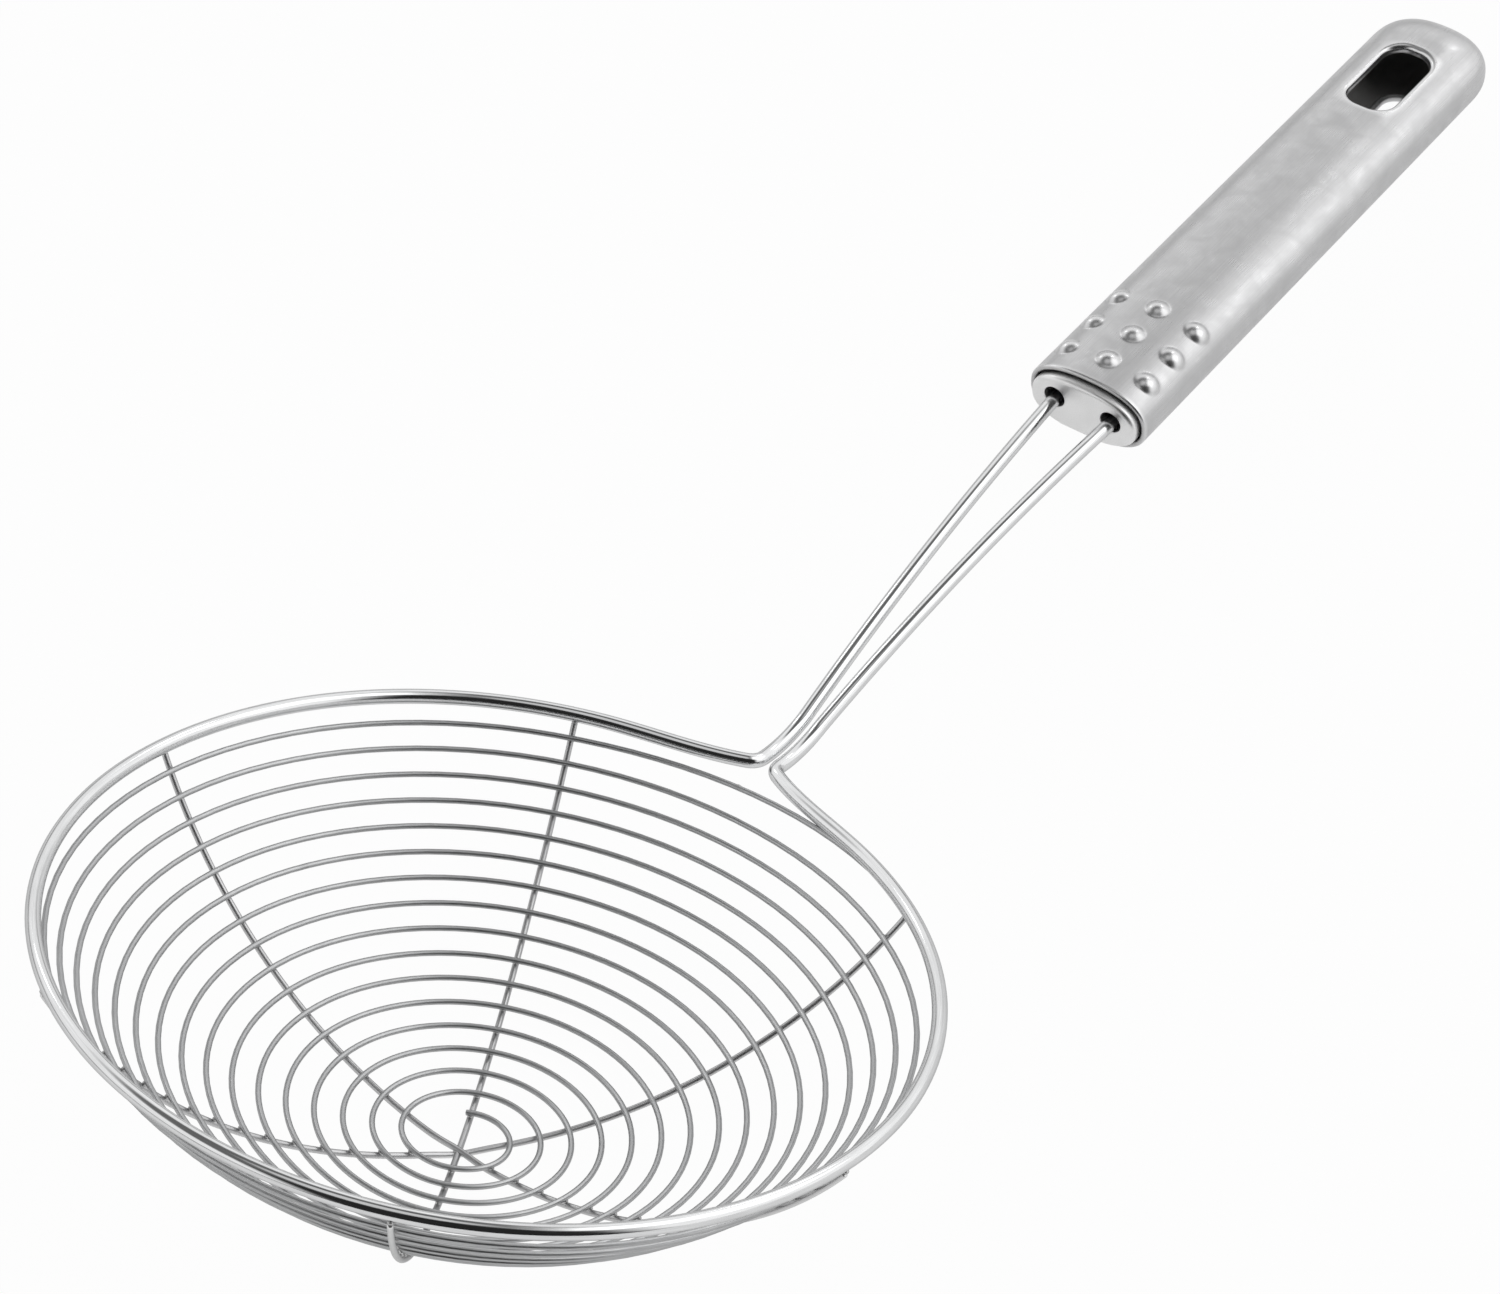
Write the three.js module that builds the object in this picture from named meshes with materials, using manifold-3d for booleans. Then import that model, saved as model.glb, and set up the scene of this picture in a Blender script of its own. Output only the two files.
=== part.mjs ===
// A wire strainer with a hollow steel handle, lying on a table on its bowl and on the tail of its handle.
// Millimetres, +Z up. The pieces are drawn with the rim level and the handle along +X, and the whole part is
// then tipped until the bowl and the tail touch the table together.
import * as THREE from "three";
import { mergeVertices } from "three/addons/utils/BufferGeometryUtils.js";
import Module from "manifold-3d";

const wasm = await Module();
wasm.setup();

// Driving dimensions of the bowl, in millimetres and degrees
const RIM_RADIUS = 73.5; // bowl axis to the middle of the rim wire
const RIM_WIRE = 2.7; // diameter of the wire of the rim and the stems
const BOWL_DEPTH = 41; // rim's middle plane to the middle of the spiral wire, on the bowl axis
const SPIRAL_WIRE = 1.0;
const SPIRAL_TURNS = 16.15; // from the spiral's inner end to the rim
const SPIRAL_START = 6.4; // the winding's own centre to its inner end, measured along the bowl
const SPIRAL_CLOSING = 0.05; // how much wider the innermost turns lie than the mean, and how much closer the outermost
const WINDING_FIRST = [2.3, 0.8]; // bowl axis to the winding's centre at its inner end, along the bowl
const WINDING_LAST = [-1.6, -1.5]; // the same at its outer end
const RIB_WIRE = 1.2;
const RIB_TURN = -4; // how far the three ribs are turned from an even layout about the handle
const RIB_PASS_REACH = 4; // distance over which a rib rises or dips to pass the other two at the middle
const WELD_GAP = 0.3; // space left between wires that are welded together

// Driving dimensions of the neck and the stems
const FLARE_AZIMUTH = 22; // where the rim leaves its circle on the way to the neck
const FLARE_HEADING = 60; // angle between the rim and the handle's direction where the neck bend starts
const NECK_REACH = 80; // bowl axis to the point where the two wires come side by side
const NECK_BEND = 3.2; // bend radius of each wire's middle at the neck
const NECK_GAP = 0.8; // space between the two wires at the neck
const STEM_RISE = 30; // slope of the stems just after the neck
const RISE_BEND = 24; // bend radius where the stems turn up
const STEM_SPREAD = 12.2; // distance between the stems' middles at the handle
const STEM_INSERT = 24; // length of the stems inside the handle

// Driving dimensions of the handle
const MOUTH_REACH = 172; // bowl axis to the handle's mouth, along the rim's plane
const MOUTH_LIFT = 37.8; // height of the stems above the rim's plane at the handle's mouth
const HANDLE_RISE = 17.2; // slope of the handle from the rim's plane
const HANDLE_LENGTH = 130;
const MOUTH_WIDTH = 25.2;
const TAIL_WIDTH = 24.4;
const HANDLE_THICKNESS = 14.2;
const HANDLE_WALL = 1.0;
const SECTION_POWER = 2.4; // 2 would make the handle's section an ellipse, more makes it squarer
const TAIL_ROUND = 11; // length of the rounded tail
const TAIL_POWER = 2.6; // squareness of the rounded tail
const LAND_DEPTH = 0.25; // how much the underside is flattened to make its resting land
const STEM_OFFSET = 0.2; // height of the stems above the handle's middle
const SLOT_LENGTH = 20.3;
const SLOT_WIDTH = 10.1;
const SLOT_CORNER = 4.2;
const SLOT_TO_TAIL = 13.8; // hang slot to the tip of the tail
const DOME_DIAMETER = 4.4;
const DOME_HEIGHT = 0.9;
const DOME_ROWS = 3;
const DOME_COLUMNS = 3;
const DOME_ROW_PITCH = 8.4; // row to row, along the handle
const DOME_COLUMN_PITCH = 8.8; // column to column, across the handle
const DOME_START = 6.5; // handle's mouth to the first row
const PLUG_DEPTH = 3; // length of the plug inside the mouth
const PLUG_PROUD = 1.8; // length of the plug that stands out of the mouth
const PLUG_CHAMFER = 0.7;
const PLUG_CLEARANCE = 0.3; // space between the plug and the handle's wall
const HOLE_SLACK = 0.8; // how much larger the plug's holes are than the stems, on the radius

// Fineness of the facets
const RIM_SIDES = 10;
const RIM_STEP = 6; // degrees of the rim circle to a step
const BEND_STEPS = 6;
const CURVE_STEPS = 16;
const SPIRAL_SIDES = 6;
const SPIRAL_STEPS = 30; // steps in a turn, a multiple of twice the number of ribs
const RIB_SIDES = 8;
const RIB_STEPS = 44;
const SECTION_POINTS = 40;
const INNER_SECTION_POINTS = 28;
const HANDLE_STEPS = 8;
const TAIL_STEPS = 8;
const TAIL_LAST = 86; // degrees of the tail's round that are drawn before its flat tip
const DOME_SEGMENTS = 14;
const HOLE_SEGMENTS = 24;
const CURVE_SEGMENTS = 8;
const CUT_MARGIN = 2; // how far a cutting solid stands out of what it cuts
const REST_ROUNDS = 40; // halvings of the angle in the search for the resting tilt

const rad = THREE.MathUtils.degToRad;
const rimR = RIM_WIRE / 2;
const spiralR = SPIRAL_WIRE / 2;
const ribR = RIB_WIRE / 2;

// The bowl is part of a sphere. The spiral's middle lies on the sphere through the middle of the rim wire,
// and the ribs lie on a larger one round the same centre, so that they carry the spiral from below.
const sphereR = (RIM_RADIUS ** 2 + BOWL_DEPTH ** 2) / (2 * BOWL_DEPTH);
const ribStep = spiralR + WELD_GAP + ribR;
const sphereZ = sphereR - BOWL_DEPTH;
const rimPolar = Math.atan2(RIM_RADIUS, sphereZ);

// The point at a distance from the sphere's centre, a polar angle from straight down, and an azimuth.
function bowlPoint(distance, polar, azimuth) {
  const r = distance * Math.sin(polar);
  return new THREE.Vector3(
    r * Math.cos(azimuth),
    r * Math.sin(azimuth),
    sphereZ - distance * Math.cos(polar),
  );
}

// A path through given points that gives one step of a tube to each stretch between them.
class Route extends THREE.Curve {
  constructor(points) {
    super();
    this.points = points;
  }
  getPoint(t, target = new THREE.Vector3()) {
    const last = this.points.length - 1;
    const i = Math.min(Math.floor(t * last), last - 1);
    return target.lerpVectors(this.points[i], this.points[i + 1], t * last - i);
  }
  getPointAt(u, target) {
    return this.getPoint(u, target);
  }
  getTangentAt(u, target) {
    return this.getTangent(u, target);
  }
}

// A round wire of flat sides along a row of points.
function wireTube(points, diameter, sides) {
  const corners = Array.from({ length: sides }, (_, k) => {
    const turn = (2 * Math.PI * k) / sides;
    return new THREE.Vector2(Math.cos(turn), Math.sin(turn)).multiplyScalar(diameter / 2);
  });
  return new THREE.ExtrudeGeometry(new THREE.Shape(corners), {
    steps: points.length - 1,
    bevelEnabled: false,
    extrudePath: new Route(points),
  });
}

// A row of points without the ones that repeat the point before.
function joined(...rows) {
  return rows.flat().filter((p, i, all) => i === 0 || p.distanceTo(all[i - 1]) > 1e-6);
}

function meshOf(name, geometry, color, roughness) {
  const material = new THREE.MeshStandardMaterial({ color, roughness, metalness: 1 });
  const mesh = new THREE.Mesh(geometry, material);
  mesh.name = name;
  return mesh;
}

// Half of the rim frame, on the +Y side: from the far side of the rim round to the neck, up the stem and
// into the handle. The stem is a cubic curve between its slope after the neck and the handle's slope.
function halfFrame() {
  const circle = new THREE.EllipseCurve(0, 0, RIM_RADIUS, RIM_RADIUS, Math.PI, rad(FLARE_AZIMUTH), true);
  const flat = (p) => new THREE.Vector3(p.x, p.y, 0);
  const arc = circle.getPoints(Math.round((180 - FLARE_AZIMUTH) / RIM_STEP)).map(flat);

  const neckY = rimR + NECK_GAP / 2;
  const heading = rad(FLARE_HEADING);
  const bend = Array.from({ length: BEND_STEPS + 1 }, (_, k) => {
    const turn = heading * (1 - k / BEND_STEPS);
    return new THREE.Vector3(
      NECK_REACH - NECK_BEND * Math.sin(turn),
      neckY + NECK_BEND * (1 - Math.cos(turn)),
      0,
    );
  });

  const from = arc[arc.length - 1];
  const to = bend[0];
  const pull = from.distanceTo(to) / 3;
  const leave = new THREE.Vector3(Math.sin(rad(FLARE_AZIMUTH)), -Math.cos(rad(FLARE_AZIMUTH)), 0);
  const arrive = new THREE.Vector3(Math.cos(heading), -Math.sin(heading), 0);
  const flare = new THREE.CubicBezierCurve3(
    from,
    from.clone().addScaledVector(leave, pull),
    to.clone().addScaledVector(arrive, -pull),
    to,
  ).getPoints(BEND_STEPS);

  const rise = Array.from({ length: BEND_STEPS + 1 }, (_, k) => {
    const turn = (rad(STEM_RISE) * k) / BEND_STEPS;
    return new THREE.Vector3(
      NECK_REACH + RISE_BEND * Math.sin(turn),
      neckY,
      RISE_BEND * (1 - Math.cos(turn)),
    );
  });

  const foot = rise[rise.length - 1];
  const top = new THREE.Vector3(MOUTH_REACH, STEM_SPREAD / 2, MOUTH_LIFT);
  const third = (top.x - foot.x) / 3;
  const spread = (top.y - foot.y) / 3;
  const stem = new THREE.CubicBezierCurve3(
    foot,
    new THREE.Vector3(foot.x + third, foot.y + spread, foot.z + third * Math.tan(rad(STEM_RISE))),
    new THREE.Vector3(top.x - third, top.y - spread, top.z - third * Math.tan(rad(HANDLE_RISE))),
    top,
  ).getPoints(CURVE_STEPS);

  const along = new THREE.Vector3(Math.cos(rad(HANDLE_RISE)), 0, Math.sin(rad(HANDLE_RISE)));
  const inside = top.clone().addScaledVector(along, PLUG_DEPTH);
  const end = top.clone().addScaledVector(along, STEM_INSERT);
  return joined(arc, flare, bend, rise, stem, [inside, end]);
}

function rimFrame() {
  const left = halfFrame();
  const right = left.map((p) => new THREE.Vector3(p.x, -p.y, p.z));
  return wireTube(joined(left.reverse(), right), RIM_WIRE, RIM_SIDES);
}

// The three ribs, named for the way they run, with their azimuth and their layer where they cross.
const RIBS = [
  { name: "rib_cross", azimuth: 90 + RIB_TURN, layer: -1 },
  { name: "rib_left", azimuth: 30 + RIB_TURN, layer: 0 },
  { name: "rib_right", azimuth: -30 + RIB_TURN, layer: 1 },
];

// A rib runs right across the bowl and stops at each end under the rim wire, where it is welded. At the
// middle the three pass each other a wire and a gap apart: one rises, one keeps to its sphere and one dips.
function rib({ azimuth, layer }) {
  const radius = sphereR + ribStep;
  const stop = Math.sqrt((rimR + WELD_GAP) ** 2 - (ribStep - ribR) ** 2);
  const span = rimPolar - stop / radius;
  const dip = layer * (RIB_WIRE + WELD_GAP);
  const points = Array.from({ length: RIB_STEPS + 1 }, (_, k) => {
    const polar = span * ((2 * k) / RIB_STEPS - 1);
    const away = (radius * polar) / RIB_PASS_REACH;
    return bowlPoint(radius + dip * Math.exp(-away * away), polar, rad(azimuth));
  });
  return wireTube(points, RIB_WIRE, RIB_SIDES);
}

// How far the winding's centre, which drifts evenly from its first place to its last, moves the wire outwards.
function windingShift(share, azimuth) {
  const [x, y] = WINDING_FIRST.map((first, i) => THREE.MathUtils.lerp(first, WINDING_LAST[i], share));
  return x * Math.cos(azimuth) + y * Math.sin(azimuth);
}

// The spiral climbs the bowl, clockwise from above, from its inner end on the left rib until it comes up
// against the rim wire. Its turns close up a little on the way.
function spiralPoints() {
  const azimuthAt = (turn) => rad(RIBS[1].azimuth) - 2 * Math.PI * turn;
  const stop = sphereR * rimPolar - (rimR + WELD_GAP + spiralR);
  const climb = stop - windingShift(1, azimuthAt(SPIRAL_TURNS)) - SPIRAL_START;
  const steps = Math.ceil(SPIRAL_TURNS * SPIRAL_STEPS);
  return Array.from({ length: steps + 1 }, (_, k) => {
    const turn = Math.min(k / SPIRAL_STEPS, SPIRAL_TURNS);
    const share = turn / SPIRAL_TURNS;
    const risen = (1 + SPIRAL_CLOSING - SPIRAL_CLOSING * share) * share;
    const along = SPIRAL_START + climb * risen + windingShift(share, azimuthAt(turn));
    return bowlPoint(sphereR, along / sphereR, azimuthAt(turn));
  });
}

// The least space between one turn of a wound wire and the next, measured between its points.
function leastGap(points, stepsInTurn, diameter) {
  let least = Infinity;
  points.forEach((p, i) => {
    for (let j = i + Math.round(stepsInTurn / 2); j < points.length; j += 1) {
      least = Math.min(least, p.distanceTo(points[j]));
    }
  });
  return least - diameter;
}

function spiral() {
  const points = spiralPoints();
  const gap = leastGap(points, SPIRAL_STEPS, SPIRAL_WIRE);
  console.log("least gap between the turns of the spiral: " + gap.toFixed(2) + " mm");
  return wireTube(points, SPIRAL_WIRE, SPIRAL_SIDES);
}

function solidOf(geometry) {
  const bare = new THREE.BufferGeometry();
  bare.setAttribute("position", geometry.getAttribute("position"));
  bare.setIndex(geometry.getIndex());
  const merged = mergeVertices(bare, 1e-4);
  return new wasm.Manifold(
    new wasm.Mesh({
      numProp: 3,
      vertProperties: merged.getAttribute("position").array,
      triVerts: new Uint32Array(merged.getIndex().array),
    }),
  );
}

function geometryOf(solid) {
  const mesh = solid.getMesh();
  const geometry = new THREE.BufferGeometry();
  geometry.setAttribute("position", new THREE.BufferAttribute(mesh.vertProperties, 3));
  geometry.setIndex(new THREE.BufferAttribute(mesh.triVerts, 1));
  return geometry;
}

// A closed skin over rings of equally many points, with a flat end on the first ring and on the last.
function skin(rings) {
  const count = rings[0].length;
  const middle = (ring) => ring.reduce((sum, p) => sum.add(p), new THREE.Vector3()).divideScalar(count);
  const points = [...rings.flat(), middle(rings[0]), middle(rings[rings.length - 1])];
  const first = points.length - 2;
  const last = points.length - 1;
  const lastRing = (rings.length - 1) * count;
  const faces = [];
  for (let k = 0; k < count; k += 1) {
    const next = (k + 1) % count;
    for (let r = 0; r < lastRing; r += count) {
      faces.push(r + k, r + next, r + count + k);
      faces.push(r + next, r + count + next, r + count + k);
    }
    faces.push(first, next, k);
    faces.push(last, lastRing + k, lastRing + next);
  }
  const geometry = new THREE.BufferGeometry().setFromPoints(points);
  geometry.setIndex(faces);
  return geometry;
}

// The handle's own frame has X from the mouth to the tail, Y across and Z up.
// The section is a superellipse, and the tail is rounded by the same rule along its length.
const halfThickness = HANDLE_THICKNESS / 2;

function halfWidthAt(x) {
  return THREE.MathUtils.lerp(MOUTH_WIDTH, TAIL_WIDTH, x / HANDLE_LENGTH) / 2;
}

function bulge(value, power) {
  return Math.sign(value) * Math.abs(value) ** (2 / power);
}

// Height of the handle's upper face over its middle, at a share of the half width.
function crown(share, half) {
  return half * (1 - Math.abs(share) ** SECTION_POWER) ** (1 / SECTION_POWER);
}

function sectionRing(x, width, thickness, land, count) {
  return Array.from({ length: count }, (_, k) => {
    const turn = (2 * Math.PI * k) / count;
    const y = width * bulge(Math.cos(turn), SECTION_POWER);
    const z = thickness * bulge(Math.sin(turn), SECTION_POWER);
    return new THREE.Vector3(x, y, Math.max(z, land - thickness));
  });
}

// The handle's outer body, or its hollow when inset by the wall. The hollow starts in front of the mouth.
function handleBody(inset, start, count) {
  const roundStart = HANDLE_LENGTH - TAIL_ROUND;
  const roundLength = TAIL_ROUND - inset;
  const rings = [];
  const ring = (x, share) => {
    const width = halfWidthAt(x) - inset;
    const land = LAND_DEPTH * share;
    rings.push(sectionRing(x, width * share, (halfThickness - inset) * share, land, count));
  };
  for (let k = 0; k < HANDLE_STEPS; k += 1) {
    ring(THREE.MathUtils.lerp(start, roundStart, k / HANDLE_STEPS), 1);
  }
  for (let k = 0; k <= TAIL_STEPS; k += 1) {
    const turn = rad((TAIL_LAST * k) / TAIL_STEPS);
    ring(roundStart + roundLength * bulge(Math.sin(turn), TAIL_POWER), bulge(Math.cos(turn), TAIL_POWER));
  }
  return solidOf(skin(rings));
}

// Grip domes stand on the upper face as parts of spheres, square to the face.
function domes() {
  const half = DOME_DIAMETER / 2;
  const ball = (half ** 2 + DOME_HEIGHT ** 2) / (2 * DOME_HEIGHT);
  const solids = [];
  for (let row = 0; row < DOME_ROWS; row += 1) {
    for (let column = 0; column < DOME_COLUMNS; column += 1) {
      const x = DOME_START + row * DOME_ROW_PITCH;
      const y = (column - (DOME_COLUMNS - 1) / 2) * DOME_COLUMN_PITCH;
      const width = halfWidthAt(x);
      const z = crown(y / width, halfThickness);
      const outward = new THREE.Vector3(
        0,
        (Math.sign(y) * Math.abs(y / width) ** (SECTION_POWER - 1)) / width,
        (z / halfThickness) ** (SECTION_POWER - 1) / halfThickness,
      ).normalize();
      const middle = new THREE.Vector3(x, y, z).addScaledVector(outward, DOME_HEIGHT - ball);
      const sphere = new THREE.SphereGeometry(ball, DOME_SEGMENTS, DOME_SEGMENTS);
      sphere.rotateX(Math.PI / 2).translate(middle.x, middle.y, middle.z);
      solids.push(solidOf(sphere));
    }
  }
  return solids;
}

function slotCutter() {
  const right = HANDLE_LENGTH - SLOT_TO_TAIL;
  const left = right - SLOT_LENGTH;
  const half = SLOT_WIDTH / 2;
  const outline = new THREE.Shape();
  outline.absarc(right - SLOT_CORNER, half - SLOT_CORNER, SLOT_CORNER, 0, Math.PI / 2);
  outline.absarc(left + SLOT_CORNER, half - SLOT_CORNER, SLOT_CORNER, Math.PI / 2, Math.PI);
  outline.absarc(left + SLOT_CORNER, SLOT_CORNER - half, SLOT_CORNER, Math.PI, 1.5 * Math.PI);
  outline.absarc(right - SLOT_CORNER, SLOT_CORNER - half, SLOT_CORNER, 1.5 * Math.PI, 2 * Math.PI);
  const depth = HANDLE_THICKNESS + 2 * CUT_MARGIN;
  const cutter = new THREE.ExtrudeGeometry(outline, {
    depth,
    bevelEnabled: false,
    curveSegments: CURVE_SEGMENTS,
  });
  return solidOf(cutter.translate(0, 0, -depth / 2));
}

function handleTube() {
  const outer = domes().reduce((body, dome) => body.add(dome), handleBody(0, 0, SECTION_POINTS));
  const hollow = handleBody(HANDLE_WALL, -CUT_MARGIN, INNER_SECTION_POINTS);
  return geometryOf(outer.subtract(hollow).subtract(slotCutter()));
}

// An oval plug that fits the hollow and stands out of it, with a hole round each stem. The stems lie low in
// their holes.
function endPlug() {
  const inset = HANDLE_WALL + PLUG_CLEARANCE;
  const ring = (x, chamfer) => {
    const width = halfWidthAt(PLUG_DEPTH) - inset - chamfer;
    return sectionRing(x, width, halfThickness - inset - chamfer, LAND_DEPTH, SECTION_POINTS);
  };
  const face = ring(-PLUG_PROUD, PLUG_CHAMFER);
  const shoulder = ring(PLUG_CHAMFER - PLUG_PROUD, 0);
  const body = solidOf(skin([face, shoulder, ring(PLUG_DEPTH, 0)]));
  const holeR = rimR + HOLE_SLACK;
  const holeZ = STEM_OFFSET + HOLE_SLACK - WELD_GAP;
  const length = PLUG_PROUD + PLUG_DEPTH + 2 * CUT_MARGIN;
  const holes = [-1, 1].map((side) => {
    const cutter = new THREE.CylinderGeometry(holeR, holeR, length, HOLE_SEGMENTS);
    cutter.rotateZ(Math.PI / 2).translate(0, (side * STEM_SPREAD) / 2, holeZ);
    return solidOf(cutter);
  });
  return geometryOf(holes.reduce((left, hole) => left.subtract(hole), body));
}

// The pieces with the rim level
const frame = meshOf("rim_frame", rimFrame(), 0xd6d8da, 0.16);
const coil = meshOf("spiral_wire", spiral(), 0xcfd1d3, 0.22);
const ribs = RIBS.map((each) => meshOf(each.name, rib(each), 0xc6c8ca, 0.26));
const tube = meshOf("handle_tube", handleTube(), 0xc2c4c6, 0.36);
const plug = meshOf("end_plug", endPlug(), 0xb8babc, 0.42);

const handle = new THREE.Group();
handle.add(tube, plug);
handle.rotation.y = -rad(HANDLE_RISE);
handle.position.set(
  MOUTH_REACH + STEM_OFFSET * Math.sin(rad(HANDLE_RISE)),
  0,
  MOUTH_LIFT - STEM_OFFSET * Math.cos(rad(HANDLE_RISE)),
);

const level = new THREE.Group();
level.add(frame, coil, ...ribs, handle);

// The height of the lowest of a mesh's points after the level part is tipped by an angle, tail down.
function lowest(mesh, angle) {
  const place = mesh.geometry.getAttribute("position");
  const point = new THREE.Vector3();
  let least = Infinity;
  for (let i = 0; i < place.count; i += 1) {
    point.fromBufferAttribute(place, i).applyMatrix4(mesh.matrixWorld);
    least = Math.min(least, point.z * Math.cos(angle) - point.x * Math.sin(angle));
  }
  return least;
}

// The tilt at which the bowl and the tail are equally low, found by halving.
function restingTilt() {
  level.updateMatrixWorld(true);
  let small = 0;
  let large = Math.PI / 4;
  for (let k = 0; k < REST_ROUNDS; k += 1) {
    const tilt = (small + large) / 2;
    const bowl = Math.min(...[coil, ...ribs].map((mesh) => lowest(mesh, tilt)));
    if (lowest(tube, tilt) > bowl) {
      small = tilt;
    } else {
      large = tilt;
    }
  }
  return small;
}

level.rotation.y = restingTilt();

// The origin is on the table, under the middle of the part.
const box = new THREE.Box3().setFromObject(level, true);
const middle = box.getCenter(new THREE.Vector3());
level.position.set(-middle.x, -middle.y, -box.min.z);

const strainer = new THREE.Group();
strainer.name = "wire_strainer";
strainer.add(level);

export default strainer;
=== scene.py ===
"""Builds the finished look of a wire strainer with a hollow steel handle, round its packed CAD model.

Lengths are metres in the row frame. The bowl, the stems and the handle are first drawn with the rim level and
the handle along +X, as the part's maker would draw them, and are then tipped to lie on the table.
"""

import math
from typing import NamedTuple

import bmesh
import bpy
import numpy as np
from bpy.props import FloatProperty, FloatVectorProperty, IntProperty, PointerProperty
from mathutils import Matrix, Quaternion, Vector


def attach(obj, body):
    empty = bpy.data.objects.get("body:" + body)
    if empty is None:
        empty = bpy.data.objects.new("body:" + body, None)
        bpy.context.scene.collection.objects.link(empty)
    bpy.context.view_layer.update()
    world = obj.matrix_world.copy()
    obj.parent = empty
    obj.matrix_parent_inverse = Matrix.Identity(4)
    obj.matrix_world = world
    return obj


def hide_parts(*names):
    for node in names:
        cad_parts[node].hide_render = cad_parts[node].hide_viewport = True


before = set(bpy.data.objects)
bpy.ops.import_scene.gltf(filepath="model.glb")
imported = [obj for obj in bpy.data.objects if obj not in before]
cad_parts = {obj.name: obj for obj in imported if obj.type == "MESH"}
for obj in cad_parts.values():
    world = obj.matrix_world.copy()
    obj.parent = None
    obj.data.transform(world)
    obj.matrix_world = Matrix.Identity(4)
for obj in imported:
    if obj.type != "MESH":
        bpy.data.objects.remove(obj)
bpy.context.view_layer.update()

bl_info = {
    "name": "Wire strainer",
    "version": (1, 0, 0),
    "blender": (4, 5, 0),
    "location": "3D View > Sidebar > Strainer",
    "description": "Builds a wire strainer with a spiral bowl and a hollow steel handle",
    "category": "Add Mesh",
}

UP = np.array([0.0, 0.0, 1.0])
WHITE = (1, 1, 1, 1)

# How the packed model lies on its bowl and its tail
REST_TILT = 0.3788602812  # how far the level part is tipped, tail down
RIM_CENTRE = np.array([-0.1169085805, 0.0, 0.0450214434])  # middle of the rim's circle

# How close the surfaces come to each other
HAIR = 4e-5  # the rim, the ribs and the handle stay this far inside the flat-sided solids
SEAM = 1e-6  # points closer than this are one point

# Wires: how finely they are drawn, and their rounded ends
RIM_SIDES, SPIRAL_SIDES, RIB_SIDES = 20, 12, 14
ARC_POINTS, FLARE_POINTS, NECK_POINTS, LIFT_POINTS, RUN_POINTS, INSERT_POINTS = 100, 22, 16, 14, 46, 8
SPIRAL_STEPS = 96  # in one turn
RIB_POINTS = 220
CAP_LIFTS = np.radians([75.0, 50.0, 25.0])  # rings of a rounded end, as angles up from its foot
CAP_HEIGHT = 0.4  # of a rounded end, over the wire's radius

# Welds: half sizes round the bowl, up it and out of it, over the wire's radius, and places
ROW_WELD = (0.85, 0.8, 0.8)
CROSSING_WELD = (1.5, 1.5, 1.1)
RIM_WELD = (0.9, 0.7, 0.7)
END_WELD = (1.9, 0.9, 0.9)
RIM_WELD_LEAN = math.radians(58)  # how far round the rim wire a rib's weld sits, from inside it to outside it
END_WELD_BACK = 0.5  # share of the spiral's run-out between its end and its weld
END_WELD_SUNK = 0.6  # how far that weld is sunk, over the depth of the run-out

# Handle and plug: how finely they are drawn
FINE_STEPS = 4000  # along a quarter of an outline that is then divided evenly
HANDLE_SIDES = 200
DOMED_ROWS, PLAIN_ROWS, WINDOW_ROWS = 86, 22, 31  # sections of the outer wall, from its mouth on
LINING_ROWS = 20  # sections of the inner wall up to the window
OUTER_TAIL_ROWS, INNER_TAIL_ROWS = 44, 16
MOUTH_LIP_STEPS = 10
SKIN_STEPS, LIP_STEPS, LINING_STEPS = 9, 7, 5  # rings from the slot's window to its lip, round it and back
WINDOW_MARGIN = 3.6e-3  # from the slot to its window in the walls
WINDOW_REACH = 0.3  # half the window's width, over a half turn of the section
FLANGE_ROUND = 0.3  # how far the end of the slot's pressed-in edge is rounded, over the wall
PLUG_SIDES = 120
PLUG_EDGE_RINGS, PLUG_FACE_RINGS, PLUG_BACK_RINGS, HOLE_LIP_STEPS, PLUG_LINE_STEPS = 9, 8, 3, 5, 25

# Grip domes, over the radius of a dome's foot unless said otherwise
DOME_REACH = 1.6  # how far out a dome lifts the skin
DOME_FADE = 0.4  # over which that ends
DOME_SOFT = 0.12  # softness of its join, over the dome's height
BALL_EDGE = 0.99  # of the ball's radius, past which the ball isn't followed

# How the handle's polish and its dark inside, partly unpolished steel and partly painted shade of the hollow,
# begin and end, from one ring or section to the next
MOUTH_POLISH = (0.8, 0.4)
MOUTH_SHADE = 0.6
SLOT_POLISH_IN, SLOT_POLISH_OUT = (0.3, 0.6, 0.9), (0.6, 0.2)
SLOT_SHADE = (0.3, 0.7, 1.0)

# Steel
DULL, BRIGHT, POLISHED = 0.84, 1.1, 1.16  # its colour times these
FINEST, COARSEST, HANDLED = 0.78, 1.25, 0.35  # its roughness times these
HOLLOW_ROUGH, HOLLOW_METAL = 0.6, 0.2  # roughness and metallic share inside the handle
STREAK_SHADES, STREAK_ROUGHS = (0.25, 0.75), (0.2, 0.8)  # ranges of the streaks' noise that are used
MARK_CUT = (0.36, 0.68)  # range of the noise that makes the handling marks

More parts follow.
